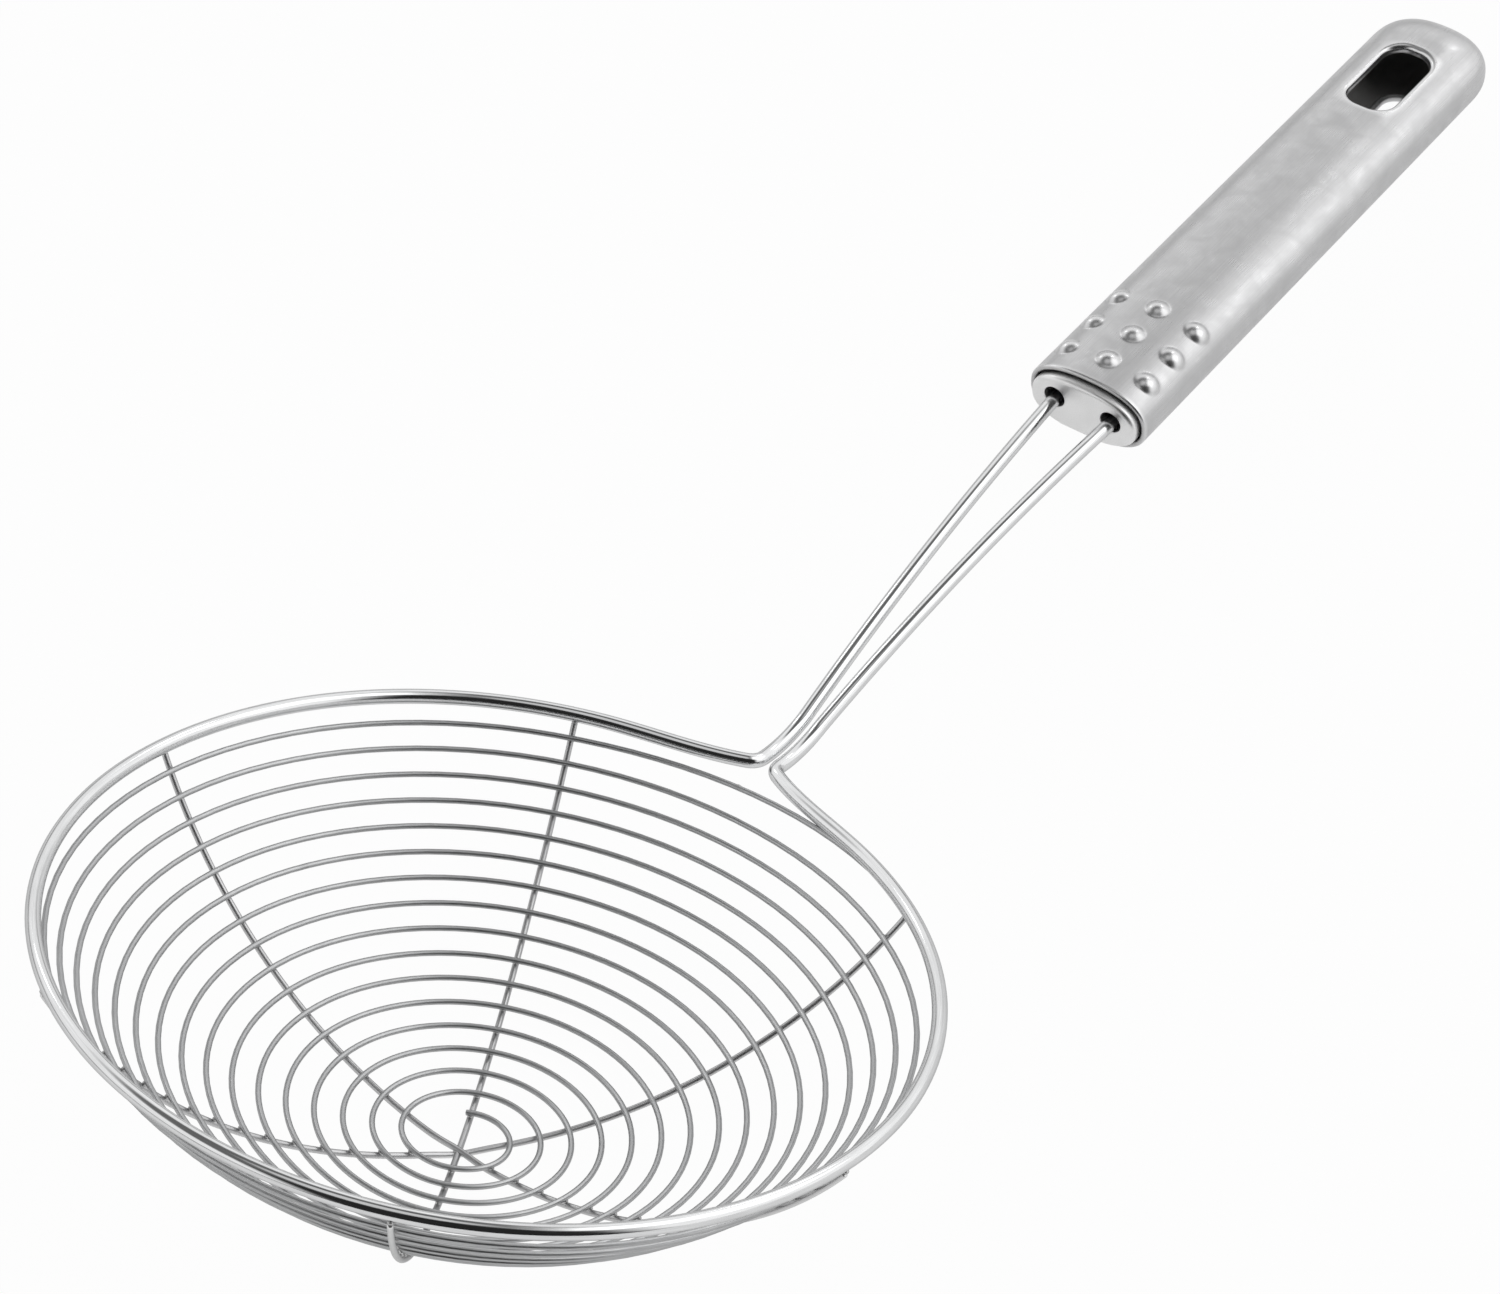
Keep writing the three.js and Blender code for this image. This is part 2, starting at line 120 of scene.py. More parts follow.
# Studio: where its walls change. Heights are the Z of a direction, and aside and toward are how far a
# direction points to the camera's left and to the camera's side of the object.
SKIRTING_HEIGHT = (0.03, 0.24)
COVE_HEIGHT = (0.62, 0.8)
CEILING_HEIGHT = (0.925, 0.975)
RIGHT_ASIDE = (-0.8, -0.3)
COVE_ASIDE = (-0.54, -0.3)
NEAR_ASIDE = (0.5, 0.75)
NEAR_TOWARD = (0.14, 0.44)
SENSOR_WIDTH = 36  # millimetres
LAMPS = (  # name, place, side of the square and power in watts
    ("soft_box", (0.75, -0.75, 1.05), 1.1, 2.0),
    ("far_lamp", (0.57, 1.15, 0.74), 0.16, 0.3),
    ("tail_lamp", (1.29, 0.10, 0.83), 0.16, 0.3),
)


# Sizes and colours that a user would change


def length(name, description, default):
    """A size that can't be negative."""
    return FloatProperty(
        name=name, description=description, default=default, min=0, unit="LENGTH", precision=5
    )


def angle(name, description, degrees):
    """An angle, given in degrees and kept in radians."""
    return FloatProperty(name=name, description=description, default=math.radians(degrees), subtype="ANGLE")


def offset(name, description, default):
    """A shift along X and Y of the level part."""
    return FloatVectorProperty(
        name=name, description=description, default=default, size=2, unit="LENGTH", precision=5
    )


def ratio(name, description, default):
    """A plain number that can't be negative."""
    return FloatProperty(name=name, description=description, default=default, min=0)


def share(name, description, default):
    """A number from 0 to 1."""
    return FloatProperty(name=name, description=description, default=default, min=0, max=1, subtype="FACTOR")


def colour(name, description, default):
    """A colour of three parts from 0 to 1."""
    return FloatVectorProperty(
        name=name, description=description, default=default, min=0, max=1, subtype="COLOR"
    )


class BowlSizes(bpy.types.PropertyGroup):
    """Sizes of the rim, the spiral and the ribs"""

    rim_radius: length("Rim radius", "Bowl axis to the middle of the rim wire", 0.0735)
    rim_wire: length("Rim wire", "Diameter of the wire of the rim and the stems", 0.0027)
    depth: length("Depth", "Rim's middle plane to the middle of the spiral wire on the axis", 0.041)
    spiral_wire: length("Spiral wire", "Diameter of the spiral wire", 0.001)
    spiral_turns: ratio("Spiral turns", "Turns from the spiral's inner end to the rim", 16.15)
    spiral_start: length("Spiral start", "Winding's centre to the inner end along the bowl", 0.0064)
    start_hook: ratio("Start hook", "Share of a turn by which the inner end stands past its rib", 0.012)
    spiral_closing: ratio("Spiral closing", "How much wider than the mean the inner turns lie", 0.05)
    winding_first: offset("Winding first", "Bowl axis to the winding's first centre", (0.0023, 0.0008))
    winding_last: offset("Winding last", "Bowl axis to the winding's last centre", (-0.0016, -0.0015))
    run_out: length("Run out", "How far the welded outer end of the spiral sinks into the rim wire", 0.0015)
    run_turns: ratio("Run turns", "Share of a turn over which it does so", 0.16)
    rib_wire: length("Rib wire", "Diameter of the ribs", 0.0012)
    rib_turn: angle("Rib turn", "Turn of the ribs from an even layout about the handle", -4)
    rib_pass: length("Rib pass", "Distance over which a rib rises or dips to pass the others", 0.004)
    rib_press: share("Rib press", "Share of that rise or dip that is left once it is pressed", 0.3)
    weld_gap: length("Weld gap", "Space between welded wires, which the weld fills", 0.0003)


class StemSizes(bpy.types.PropertyGroup):
    """Sizes of the neck and the stems"""

    flare_azimuth: angle("Flare azimuth", "Where the rim leaves its circle towards the neck", 22)
    flare_heading: angle("Flare heading", "Angle of the rim to the handle where the neck starts", 60)
    neck_reach: length("Neck reach", "Bowl axis to the point where the wires come side by side", 0.080)
    neck_bend: length("Neck bend", "Bend radius of each wire's middle at the neck", 0.0032)
    neck_gap: length("Neck gap", "Space between the wires at the neck", 0.0008)
    rise: angle("Rise", "Slope of the stems just after the neck", 30)
    rise_bend: length("Rise bend", "Bend radius where the stems turn up", 0.024)
    spread: length("Spread", "Distance between the stems' middles at the handle", 0.0122)
    insert: length("Insert", "Length of the stems inside the handle", 0.024)


class HandleSizes(bpy.types.PropertyGroup):
    """Sizes of the handle and its plug"""

    mouth_reach: length("Mouth reach", "Bowl axis to the handle's mouth along the rim's plane", 0.172)
    mouth_lift: length("Mouth lift", "Height of the stems above the rim's plane at the mouth", 0.0378)
    rise: angle("Rise", "Slope of the handle from the rim's plane", 17.2)
    length: length("Length", "Mouth to tail", 0.130)
    mouth_width: length("Mouth width", "Width at the mouth", 0.0252)
    tail_width: length("Tail width", "Width at the tail if its round were not there", 0.0244)
    thickness: length("Thickness", "Height of the section", 0.0142)
    wall: length("Wall", "Thickness of the steel", 0.001)
    section_power: ratio("Section power", "2 makes the section an ellipse, more makes it squarer", 2.4)
    tail_round: length("Tail round", "Length of the rounded tail", 0.011)
    tail_power: ratio("Tail power", "Squareness of the rounded tail", 2.6)
    land: length("Land", "Depth of the flat along the underside", 0.00025)
    stem_offset: length("Stem offset", "Height of the stems above the handle's middle", 0.0002)
    slot_length: length("Slot length", "Length of the hang slot", 0.0203)
    slot_width: length("Slot width", "Width of the hang slot", 0.0101)
    slot_corner: length("Slot corner", "Corner radius of the hang slot", 0.0042)
    slot_to_tail: length("Slot to tail", "Hang slot to the tip of the tail", 0.0138)
    slot_lip: length("Slot lip", "Radius of the slot's pressed-in edge", 0.00105)
    slot_flange: length("Slot flange", "Depth of the slot's pressed-in edge", 0.0018)
    slot_close: length("Slot close", "How much smaller the lower slot is, on each side", 0.001)
    dome_diameter: length("Dome diameter", "Diameter of a grip dome at its foot", 0.0044)
    dome_height: length("Dome height", "Height of a grip dome", 0.0009)
    dome_rows: IntProperty(name="Dome rows", description="Rows of grip domes along the handle", default=3)
    dome_columns: IntProperty(name="Dome columns", description="Grip domes in a row", default=3)
    dome_row_pitch: length("Dome row pitch", "Row to row, along the handle", 0.0084)
    dome_column_pitch: length("Dome column pitch", "Column to column, across the handle", 0.0088)
    dome_start: length("Dome start", "Handle's mouth to the first row", 0.0065)
    plug_depth: length("Plug depth", "Length of the plug inside the mouth", 0.003)
    plug_proud: length("Plug proud", "Length of the plug outside the mouth", 0.0018)
    plug_round: length("Plug round", "Radius of the plug's edge", 0.0009)
    plug_clearance: length("Plug clearance", "Space between the plug and the handle's wall", 0.0003)
    hole_slack: length("Hole slack", "Space round a stem in its hole of the plug", 0.0008)
    hole_round: length("Hole round", "Radius of the edge of the plug's holes", 0.0003)


class Finishes(bpy.types.PropertyGroup):
    """Colours and shine of the steel"""

    rim: colour("Rim", "Polished wire of the rim and the stems", (0.84, 0.845, 0.85))
    rim_rough: share("Rim roughness", "Roughness of the polished wire", 0.1)
    spiral: colour("Spiral", "Drawn wire of the spiral", (0.54, 0.545, 0.55))
    rib: colour("Rib", "Drawn wire of the ribs", (0.6, 0.6, 0.605))
    # Painted highlight: the ribs' outer side is made near white, in place of the bright floor that it
    # reflects.
    rib_painted_highlight: colour("Rib outside", "Outer side of the ribs, rubbed bright", (0.97, 0.97, 0.97))
    mesh_rough: share("Mesh roughness", "Roughness of the drawn wire", 0.3)
    weld: colour("Weld", "Small welds between the wires", (0.60, 0.60, 0.60))
    weld_rough: share("Weld roughness", "Roughness of the welds", 0.34)
    handle: colour("Handle", "Satin steel of the handle", (0.65, 0.65, 0.655))
    handle_rough: share("Handle roughness", "Roughness of the satin steel", 0.28)
    edge_rough: share("Edge roughness", "Roughness of the handle's domes and edges", 0.27)
    # Painted shade: the handle's inside is darker than its steel, partly unpolished steel and partly the
    # hollow's shade painted in.
    hollow: colour("Hollow", "Unpolished steel inside the handle", (0.32, 0.317, 0.314))
    plug: colour("Plug", "Satin steel of the plug", (1.0, 1.0, 1.0))
    plug_rough: share("Plug roughness", "Roughness of the plug", 0.34)
    edge: colour("Wire edge", "Tint of the wires where they are seen edge on", (0.65, 0.65, 0.65))


class StudioSettings(bpy.types.PropertyGroup):
    """The floor, the light and the camera"""

    floor: colour("Floor", "Pale floor", (0.9, 0.9, 0.9))
    floor_white: share("Floor white", "How much of the floor is free of shadow for the camera", 0.965)
    floor_shine: share("Floor shine", "How much of it is free of shadow in reflections", 0.52)
    floor_size: length("Floor size", "Side of the floor", 40.0)
    far_light: ratio("Far light", "Brightness of the far walls", 0.95)
    cove_light: ratio("Cove light", "Brightness of the dark cove between the walls and the ceiling", 0.14)
    ceiling_light: ratio("Ceiling light", "Brightness straight overhead", 0.66)
    near_light: ratio("Near light", "Brightness of the wall behind the camera", 0.02)
    skirting_light: ratio("Skirting light", "Brightness of the walls just over the floor", 0.3)
    right_light: ratio("Right light", "Brightness of the wall at the camera's right", 1.05)
    camera_place: FloatVectorProperty(
        name="Camera place",
        description="Where the camera stands",
        default=(-0.467811, -0.357528, 0.682801),
        subtype="TRANSLATION",
    )
    camera_aim: FloatVectorProperty(
        name="Camera aim",
        description="Point of the floor in the middle of the picture",
        default=(-0.012790, 0.027321, 0.0),
        subtype="TRANSLATION",
    )
    camera_roll: angle("Camera roll", "Turn of the camera about its line of sight", 5.752)
    camera_lens: FloatProperty(
        name="Camera lens",
        description="Focal length in millimetres on a 36 mm sensor",
        default=120.187,
        unit="CAMERA",
    )


# Places and surfaces in general


def unit(vectors):
    """Vectors along the last axis divided by their length."""
    return vectors / np.linalg.norm(vectors, axis=-1, keepdims=True)


def to_row(points):
    """Turns points of the level part about Y by the resting tilt, then moves the rim's middle in place."""
    c, s = math.cos(REST_TILT), math.sin(REST_TILT)
    x, y, z = np.moveaxis(np.asarray(points), -1, 0)
    return np.stack([c * x + s * z, y, c * z - s * x], -1) + RIM_CENTRE


def handle_to_row(points, handle):
    """Puts points of the handle's own frame (X mouth to tail, Y across, Z up) on the level part, sloped up by
    the handle's rise from the mouth, and then in the row frame."""
    c, s = math.cos(handle.rise), math.sin(handle.rise)
    x, y, z = np.moveaxis(np.asarray(points), -1, 0)
    z = z - handle.stem_offset
    level = np.stack([handle.mouth_reach + c * x - s * z, y, handle.mouth_lift + s * x + c * z], -1)
    return to_row(level)


def cubic(a, b, c, d, count):
    """Cubic curve from a to d, drawn towards b when it leaves and from c when it arrives."""
    t = np.linspace(0, 1, count)[:, None]
    return (1 - t) ** 3 * a + 3 * (1 - t) ** 2 * t * b + 3 * (1 - t) * t**2 * c + t**3 * d


def number(shape, start=0):
    """Numbers of the points of a grid, row by row from a start."""
    return start + np.arange(math.prod(shape)).reshape(shape)


def loop_quads(rings):
    """Faces between each closed ring of point numbers and the next ring."""
    a, b = rings[:-1], rings[1:]
    return np.stack([a, np.roll(a, -1, 1), np.roll(b, -1, 1), b], -1)


def fan(pole, ring, flip=False):
    """Triangles from one pole to each side of a closed ring of point numbers."""
    after = np.roll(ring, -1)
    first, second = (after, ring) if flip else (ring, after)
    return np.stack([np.full_like(ring, pole), first, second], -1)


def wire(path, aside, radius, sides):
    """A circle carried along a path: each point is the path's point plus the radius times the cosine of a
    turn along one normal and its sine along the other. Each end is closed by a flattened half ball. Returns
    the points, the faces and, for the grain, the place on the circle and the distance along the wire."""
    ahead = unit(np.gradient(path, axis=0))
    first = unit(np.cross(ahead, aside))
    second = np.cross(ahead, first)
    lift = CAP_LIFTS[:, None]
    reach = CAP_HEIGHT * radius * np.sin(lift)
    middles = np.concatenate([path[0] - ahead[0] * reach, path, path[-1] + ahead[-1] * reach[::-1]])
    scale = np.concatenate([np.cos(lift), np.ones((len(path), 1)), np.cos(lift[::-1])])
    pad = ((len(lift), len(lift)), (0, 0))
    first, second = np.pad(first, pad, mode="edge"), np.pad(second, pad, mode="edge")
    turn = np.linspace(0, 2 * np.pi, sides, endpoint=False)[:, None]
    circle = first[:, None] * np.cos(turn) + second[:, None] * np.sin(turn)
    points = (middles[:, None] + radius * scale[:, None] * circle).reshape(-1, 3)
    tips = [path[0] - ahead[0] * CAP_HEIGHT * radius, path[-1] + ahead[-1] * CAP_HEIGHT * radius]
    rings = number((len(middles), sides))
    faces = loop_quads(rings).reshape(-1, 4).tolist()
    faces += fan(len(points), rings[0], True).tolist() + fan(len(points) + 1, rings[-1]).tolist()
    run = np.r_[0, np.cumsum(np.linalg.norm(np.diff(middles, axis=0), axis=1))]
    grain = np.empty((len(run), sides, 3))
    grain[..., :2] = radius * np.concatenate([np.cos(turn), np.sin(turn)], 1)
    grain[..., 2] = run[:, None]
    grain = np.concatenate([grain.reshape(-1, 3), [[0, 0, 0], [0, 0, run[-1]]]])
    return np.concatenate([points, tips]), faces, grain


def nuggets(middles, axes, halves, rings=5, sectors=8):
    """Small rounded lumps: a unit ball of rings and sectors, stretched along each lump's own three axes."""
    polar = np.linspace(0, np.pi, rings + 2)[1:-1, None]
    turn = np.linspace(0, 2 * np.pi, sectors, endpoint=False)
    parts = np.sin(polar) * np.cos(turn), np.sin(polar) * np.sin(turn), np.cos(polar)
    skin = np.stack(np.broadcast_arrays(*parts), -1)
    lump = np.concatenate([skin.reshape(-1, 3), [UP, -UP]])
    points = middles[:, None] + np.einsum("vk,nk,nkc->nvc", lump, halves, axes)
    numbers = number((rings, sectors))
    quads = loop_quads(numbers[::-1]).reshape(-1, 4)
    caps = np.concatenate([fan(numbers.size, numbers[0]), fan(numbers.size + 1, numbers[-1], True)])
    shift = (np.arange(len(middles)) * len(lump))[:, None, None]
    faces = (quads + shift).reshape(-1, 4).tolist() + (caps + shift).reshape(-1, 3).tolist()
    return points.reshape(-1, 3), faces


# Shape of the bowl and the stems


class Ball(NamedTuple):
    """The sphere that the bowl is part of"""

    radius: float
    height: float  # of its middle over the rim's plane
    rim_polar: float  # angle at its middle from straight down to the rim


def ball(bowl):
    """The bowl's sphere: its radius is (rim radius squared + depth squared) / twice depth."""
    radius = (bowl.rim_radius**2 + bowl.depth**2) / (2 * bowl.depth)
    height = radius - bowl.depth
    return Ball(radius, height, math.atan2(bowl.rim_radius, height))


def bowl_point(bowl, distance, polar, azimuth):
    """The point at a distance from the sphere's middle, an angle from straight down and an azimuth."""
    distance, polar, azimuth = np.broadcast_arrays(distance, polar, azimuth)
    out = distance * np.sin(polar)
    height = ball(bowl).height - distance * np.cos(polar)
    return np.stack([out * np.cos(azimuth), out * np.sin(azimuth), height], -1)


def rim_path(bowl, stem, handle):
    """Middle line of the rim wire: a circle that leaves its round towards the neck on a cubic curve, bends to
    run beside its mirror image, turns up on an arc and runs on a second cubic curve into the handle."""
    near, heading = stem.flare_azimuth, stem.flare_heading
    turn = np.linspace(math.pi, near, ARC_POINTS)
    arc = np.stack([bowl.rim_radius * np.cos(turn), bowl.rim_radius * np.sin(turn), 0 * turn], 1)

    neck = bowl.rim_wire / 2 + stem.neck_gap / 2
    turn = np.linspace(heading, 0, NECK_POINTS)
    x = stem.neck_reach - stem.neck_bend * np.sin(turn)
    bend = np.stack([x, neck + stem.neck_bend * (1 - np.cos(turn)), 0 * turn], 1)

    pull = np.linalg.norm(bend[0] - arc[-1]) / 3
    leave = np.array([math.sin(near), -math.cos(near), 0])
    arrive = np.array([math.cos(heading), -math.sin(heading), 0])
    flare = cubic(arc[-1], arc[-1] + pull * leave, bend[0] - pull * arrive, bend[0], FLARE_POINTS)

    turn = np.linspace(0, stem.rise, LIFT_POINTS)
    x = stem.neck_reach + stem.rise_bend * np.sin(turn)
    lift = np.stack([x, neck + 0 * turn, stem.rise_bend * (1 - np.cos(turn))], 1)

    foot, top = lift[-1], np.array([handle.mouth_reach, stem.spread / 2, handle.mouth_lift])
    third = (top - foot) / 3
    low = np.array([third[0], third[1], third[0] * math.tan(stem.rise)])
    high = np.array([third[0], third[1], third[0] * math.tan(handle.rise)])
    run = cubic(foot, foot + low, top - high, top, RUN_POINTS)

    along = np.array([math.cos(handle.rise), 0, math.sin(handle.rise)])
    inside = top + along * np.linspace(0, stem.insert, INSERT_POINTS)[:, None]
    half = np.concatenate([arc, flare[1:], bend[1:], lift[1:], run[1:], inside[1:]])
    return np.concatenate([half[::-1], half[1:] * [1, -1, 1]])


def rib_azimuths(bowl):
    """Name, azimuth and layer of each rib, a sixth of a turn apart. Layer 1 dips lowest at the middle."""
    steps = (("cross", 90, -1), ("left", 30, 0), ("right", -30, 1))
    return [(name, math.radians(degrees) + bowl.rib_turn, layer) for name, degrees, layer in steps]


def rib_radius(bowl):
    """Distance of a rib's middle from the sphere's: past the spiral's by both wires' radii and a gap."""
    return ball(bowl).radius + bowl.spiral_wire / 2 + bowl.weld_gap + bowl.rib_wire / 2


def rib_path(bowl, azimuth, layer):
    """Middle line of a rib: an arc right across the bowl, on a sphere just outside the spiral's, raised or
    dipped at the middle by a bell curve of the distance from it, and stopped under the rim wire."""
    radius, rim_polar = rib_radius(bowl), ball(bowl).rim_polar
    below = bowl.spiral_wire / 2 + bowl.weld_gap
    stop = math.sqrt((bowl.rim_wire / 2 + bowl.weld_gap) ** 2 - below**2)
    polar = (rim_polar - stop / radius) * np.linspace(-1, 1, RIB_POINTS)
    rise = bowl.rib_press * (bowl.rib_wire + bowl.weld_gap)
    dip = layer * rise * np.exp(-((radius * polar / bowl.rib_pass) ** 2))
    return bowl_point(bowl, radius + dip, polar, azimuth)


def rib_painted_highlight(bowl, points):
    """How far points lie on a rib's outer side, which masks the rib's painted highlight: 0 on its middle
    line, 1 a wire's radius outside it.
    """
    beyond = np.linalg.norm(points - UP * ball(bowl).height, axis=1) - rib_radius(bowl)
    return np.clip(beyond / (bowl.rib_wire / 2), 0, 1)


def spiral_azimuth(bowl, turn):
    """Azimuth of the spiral at a turn: clockwise from above, and at the left rib at turn 0."""
    azimuths = {name: azimuth for name, azimuth, _ in rib_azimuths(bowl)}
    return azimuths["left"] - 2 * math.pi * turn


def winding_shift(bowl, done, azimuth):
    """How far out the winding's centre moves the wire: its x times the azimuth's cosine plus its y times the
    azimuth's sine. The centre drifts evenly from its first place to its last."""
    first, last = np.array(bowl.winding_first), np.array(bowl.winding_last)
    centre = first + np.multiply.outer(done, last - first)
    return (centre * np.stack([np.cos(azimuth), np.sin(azimuth)], -1)).sum(-1)


def spiral_place(bowl, turn):
    """Azimuth of the spiral at a turn, and its arc from the bowl's axis. The arc from the winding's centre
    grows with the turn, a little less with each one, until the wire comes up against the rim wire."""
    radius, _, rim_polar = ball(bowl)
    stop = radius * rim_polar - (bowl.rim_wire / 2 + bowl.weld_gap + bowl.spiral_wire / 2)
    end = winding_shift(bowl, 1.0, spiral_azimuth(bowl, bowl.spiral_turns))
    climb = stop - end - bowl.spiral_start
    azimuth, done = spiral_azimuth(bowl, turn), turn / bowl.spiral_turns
    risen = (1 + bowl.spiral_closing - bowl.spiral_closing * done) * done
    return azimuth, bowl.spiral_start + climb * risen + winding_shift(bowl, done, azimuth)


def spiral_path(bowl):
    """Middle line of the spiral on the bowl's sphere. Its last stretch eases outwards into the rim wire, by
    three times the square of the share that is run less twice its cube."""
    turn = np.linspace(-bowl.start_hook, bowl.spiral_turns, round(SPIRAL_STEPS * bowl.spiral_turns))
    azimuth, arc = spiral_place(bowl, turn)
    run = np.clip(1 - (bowl.spiral_turns - turn) / bowl.run_turns, 0, 1)
    arc = arc + bowl.run_out * (3 * run**2 - 2 * run**3)
    radius = ball(bowl).radius
    return bowl_point(bowl, radius, arc / radius, azimuth)


def weld_places(bowl):
    """Middle, axes and half sizes of every weld: where a rib carries a turn of the spiral, where the ribs
    cross, where a rib's end meets the rim and where the spiral's end meets it. The axes run round the bowl,
    up the bowl and out of it."""
    radius, _, rim_polar = ball(bowl)
    start = spiral_azimuth(bowl, 0)
    ways = np.array([azimuth + half for _, azimuth, _ in rib_azimuths(bowl) for half in (0, math.pi)])
    turn = ((start - ways) / (2 * math.pi) % 1)[:, None] + np.arange(math.ceil(bowl.spiral_turns))
    azimuth, arc = spiral_place(bowl, turn[turn < bowl.spiral_turns])
    between = radius + bowl.spiral_wire / 2 + bowl.weld_gap / 2
    hold = bowl.rim_wire / 2 + bowl.weld_gap / 2
    outside = radius + hold * math.sin(RIM_WELD_LEAN)
    rib_end = rim_polar - hold * math.cos(RIM_WELD_LEAN) / radius + 0 * ways
    end, end_arc = spiral_place(bowl, bowl.spiral_turns - np.array([END_WELD_BACK * bowl.run_turns]))
    sunk = (end_arc + END_WELD_SUNK * bowl.run_out) / radius
    rows = (
        (between, arc / radius, azimuth, (bowl.spiral_wire + bowl.rib_wire) / 4, ROW_WELD),
        (rib_radius(bowl), np.zeros(1), np.array([start]), bowl.rib_wire / 2, CROSSING_WELD),
        (outside, rib_end, ways, bowl.rib_wire / 2, RIM_WELD),
        (radius, sunk, end, bowl.spiral_wire / 2, END_WELD),
    )
    middles, axes, halves = [], [], []
    for distance, polar, around, size, stretch in rows:
        middle = bowl_point(bowl, distance, polar, around)
        ring = np.stack([-np.sin(around), np.cos(around), 0 * around], -1)
        out = np.stack([np.sin(polar) * np.cos(around), np.sin(polar) * np.sin(around), -np.cos(polar)], -1)
        middles.append(middle)
        axes.append(np.stack([ring, np.cross(out, ring), out], 1))
        halves.append(np.broadcast_to(np.array(stretch) * size, middle.shape))
    return np.concatenate(middles), np.concatenate(axes), np.concatenate(halves)


# Shape of the handle and its plug


def bulge(value, power):
    """A sine or cosine raised to the power 2 / power with its sign kept, which squares up an ellipse."""
    return np.sign(value) * np.abs(value) ** (2 / power)


def even_turns(width, thickness, power, count):
    """Turns of a squared-up ellipse at even steps along its outline, the same in each quarter."""
    fine = np.linspace(0, np.pi / 2, FINE_STEPS)
    across, up = width * bulge(np.cos(fine), power), thickness * bulge(np.sin(fine), power)
    run = np.r_[0, np.cumsum(np.hypot(np.diff(across), np.diff(up)))]
    quarter = np.interp(np.linspace(0, run[-1], count // 4 + 1), run, fine)
    half = np.concatenate([quarter[:-1], np.pi - quarter[:0:-1]])
    return np.concatenate([half, half + np.pi])


def half_width(handle, x):
    """Half the handle's width, which tapers evenly from the mouth to the tail."""
    return (handle.mouth_width + (handle.tail_width - handle.mouth_width) * x / handle.length) / 2


def sections(handle, x, scale, inset, turns):
    """Sections of the handle at places along it: squared-up ellipses, scaled, with the underside cut flat."""
    wide = ((half_width(handle, x) - inset) * scale)[:, None]
    high = ((handle.thickness / 2 - inset) * scale)[:, None]
    y = wide * bulge(np.cos(turns), handle.section_power)
    z = np.maximum(high * bulge(np.sin(turns), handle.section_power), handle.land * scale[:, None] - high)
    return np.stack([np.broadcast_to(x[:, None], y.shape), y, z], -1)


def wall_sections(handle, x, inset, tail_count, turns):
    """Sections of one of the handle's walls: full ones at places along it, then the tail's, whose places and
    scales are a squared-up quarter ellipse along the handle."""
    turn = np.linspace(0, np.pi / 2, tail_count + 1)[1:-1]
    start = handle.length - handle.tail_round
    tail = start + (handle.tail_round - inset) * bulge(np.sin(turn), handle.tail_power)
    scale = np.r_[np.ones_like(x), bulge(np.cos(turn), handle.tail_power)]
    return sections(handle, np.r_[x, tail], scale, inset, turns)


def wall_height(handle, plan, inset, side):
    """Height of the upper (side 1) or lower (side -1) wall over points of the plan."""
    high = handle.thickness / 2 - inset
    out = np.abs(plan[..., 1]) / (half_width(handle, plan[..., 0]) - inset)
    crown = high * (1 - out**handle.section_power) ** (1 / handle.section_power)
    return crown if side > 0 else -np.minimum(crown, high - handle.land)


def dome_places(handle):
    """Middle of each grip dome's foot, and the way out of the upper face there: across by the (power - 1)th
    power of y over the half width, over that width, and up by the same of z and the half height."""
    power, high = handle.section_power, handle.thickness / 2
    for row in range(handle.dome_rows):
        x = handle.dome_start + row * handle.dome_row_pitch
        wide = half_width(handle, x)
        for column in range(handle.dome_columns):
            y = (column - (handle.dome_columns - 1) / 2) * handle.dome_column_pitch
            z = wall_height(handle, np.array([x, y]), 0, 1)
            across = np.sign(y) * abs(y / wide) ** (power - 1) / wide
            yield np.array([x, y, z]), unit(np.array([0, across, (z / high) ** (power - 1) / high]))


def raise_domes(handle, points):
    """Lifts points onto the grip domes. A dome is part of a ball that stands square on the upper face. A
    point's height over the dome's foot becomes the smooth maximum of its own height and the ball's. Returns
    the points and how far up a dome each one is."""
    raised = points.copy()
    crest = np.zeros(points.shape[:-1])
    height, foot = handle.dome_height, handle.dome_diameter / 2
    size = (foot**2 + height**2) / (2 * height)
    soft, reach = DOME_SOFT * height, DOME_REACH * foot
    for middle, out in dome_places(handle):
        away = points - middle
        own = away @ out
        span = np.linalg.norm(away - own[..., None] * out, axis=-1)
        cap = np.sqrt(np.maximum(size**2 - span**2, 0)) - (size - height)
        cap = np.where(span < BALL_EDGE * size, cap, -size)
        lift = (cap - own + np.sqrt((cap - own) ** 2 + soft**2)) / 2
        fade = np.clip((reach - span) / (DOME_FADE * foot), 0, 1)
        lift = np.where((span < reach) & (own > -foot), lift * fade, 0)
        raised += lift[..., None] * out
        crest = np.maximum(crest, np.clip(lift / height, 0, 1))
    return raised, crest


def window(rows, columns, sides):
    """Point numbers round a rectangle of a grid, as one closed loop."""
    return np.concatenate([
        rows[0] * sides + columns[:-1],
        rows[:-1] * sides + columns[-1],
        rows[-1] * sides + columns[:0:-1],
        rows[:0:-1] * sides + columns[0],
    ])


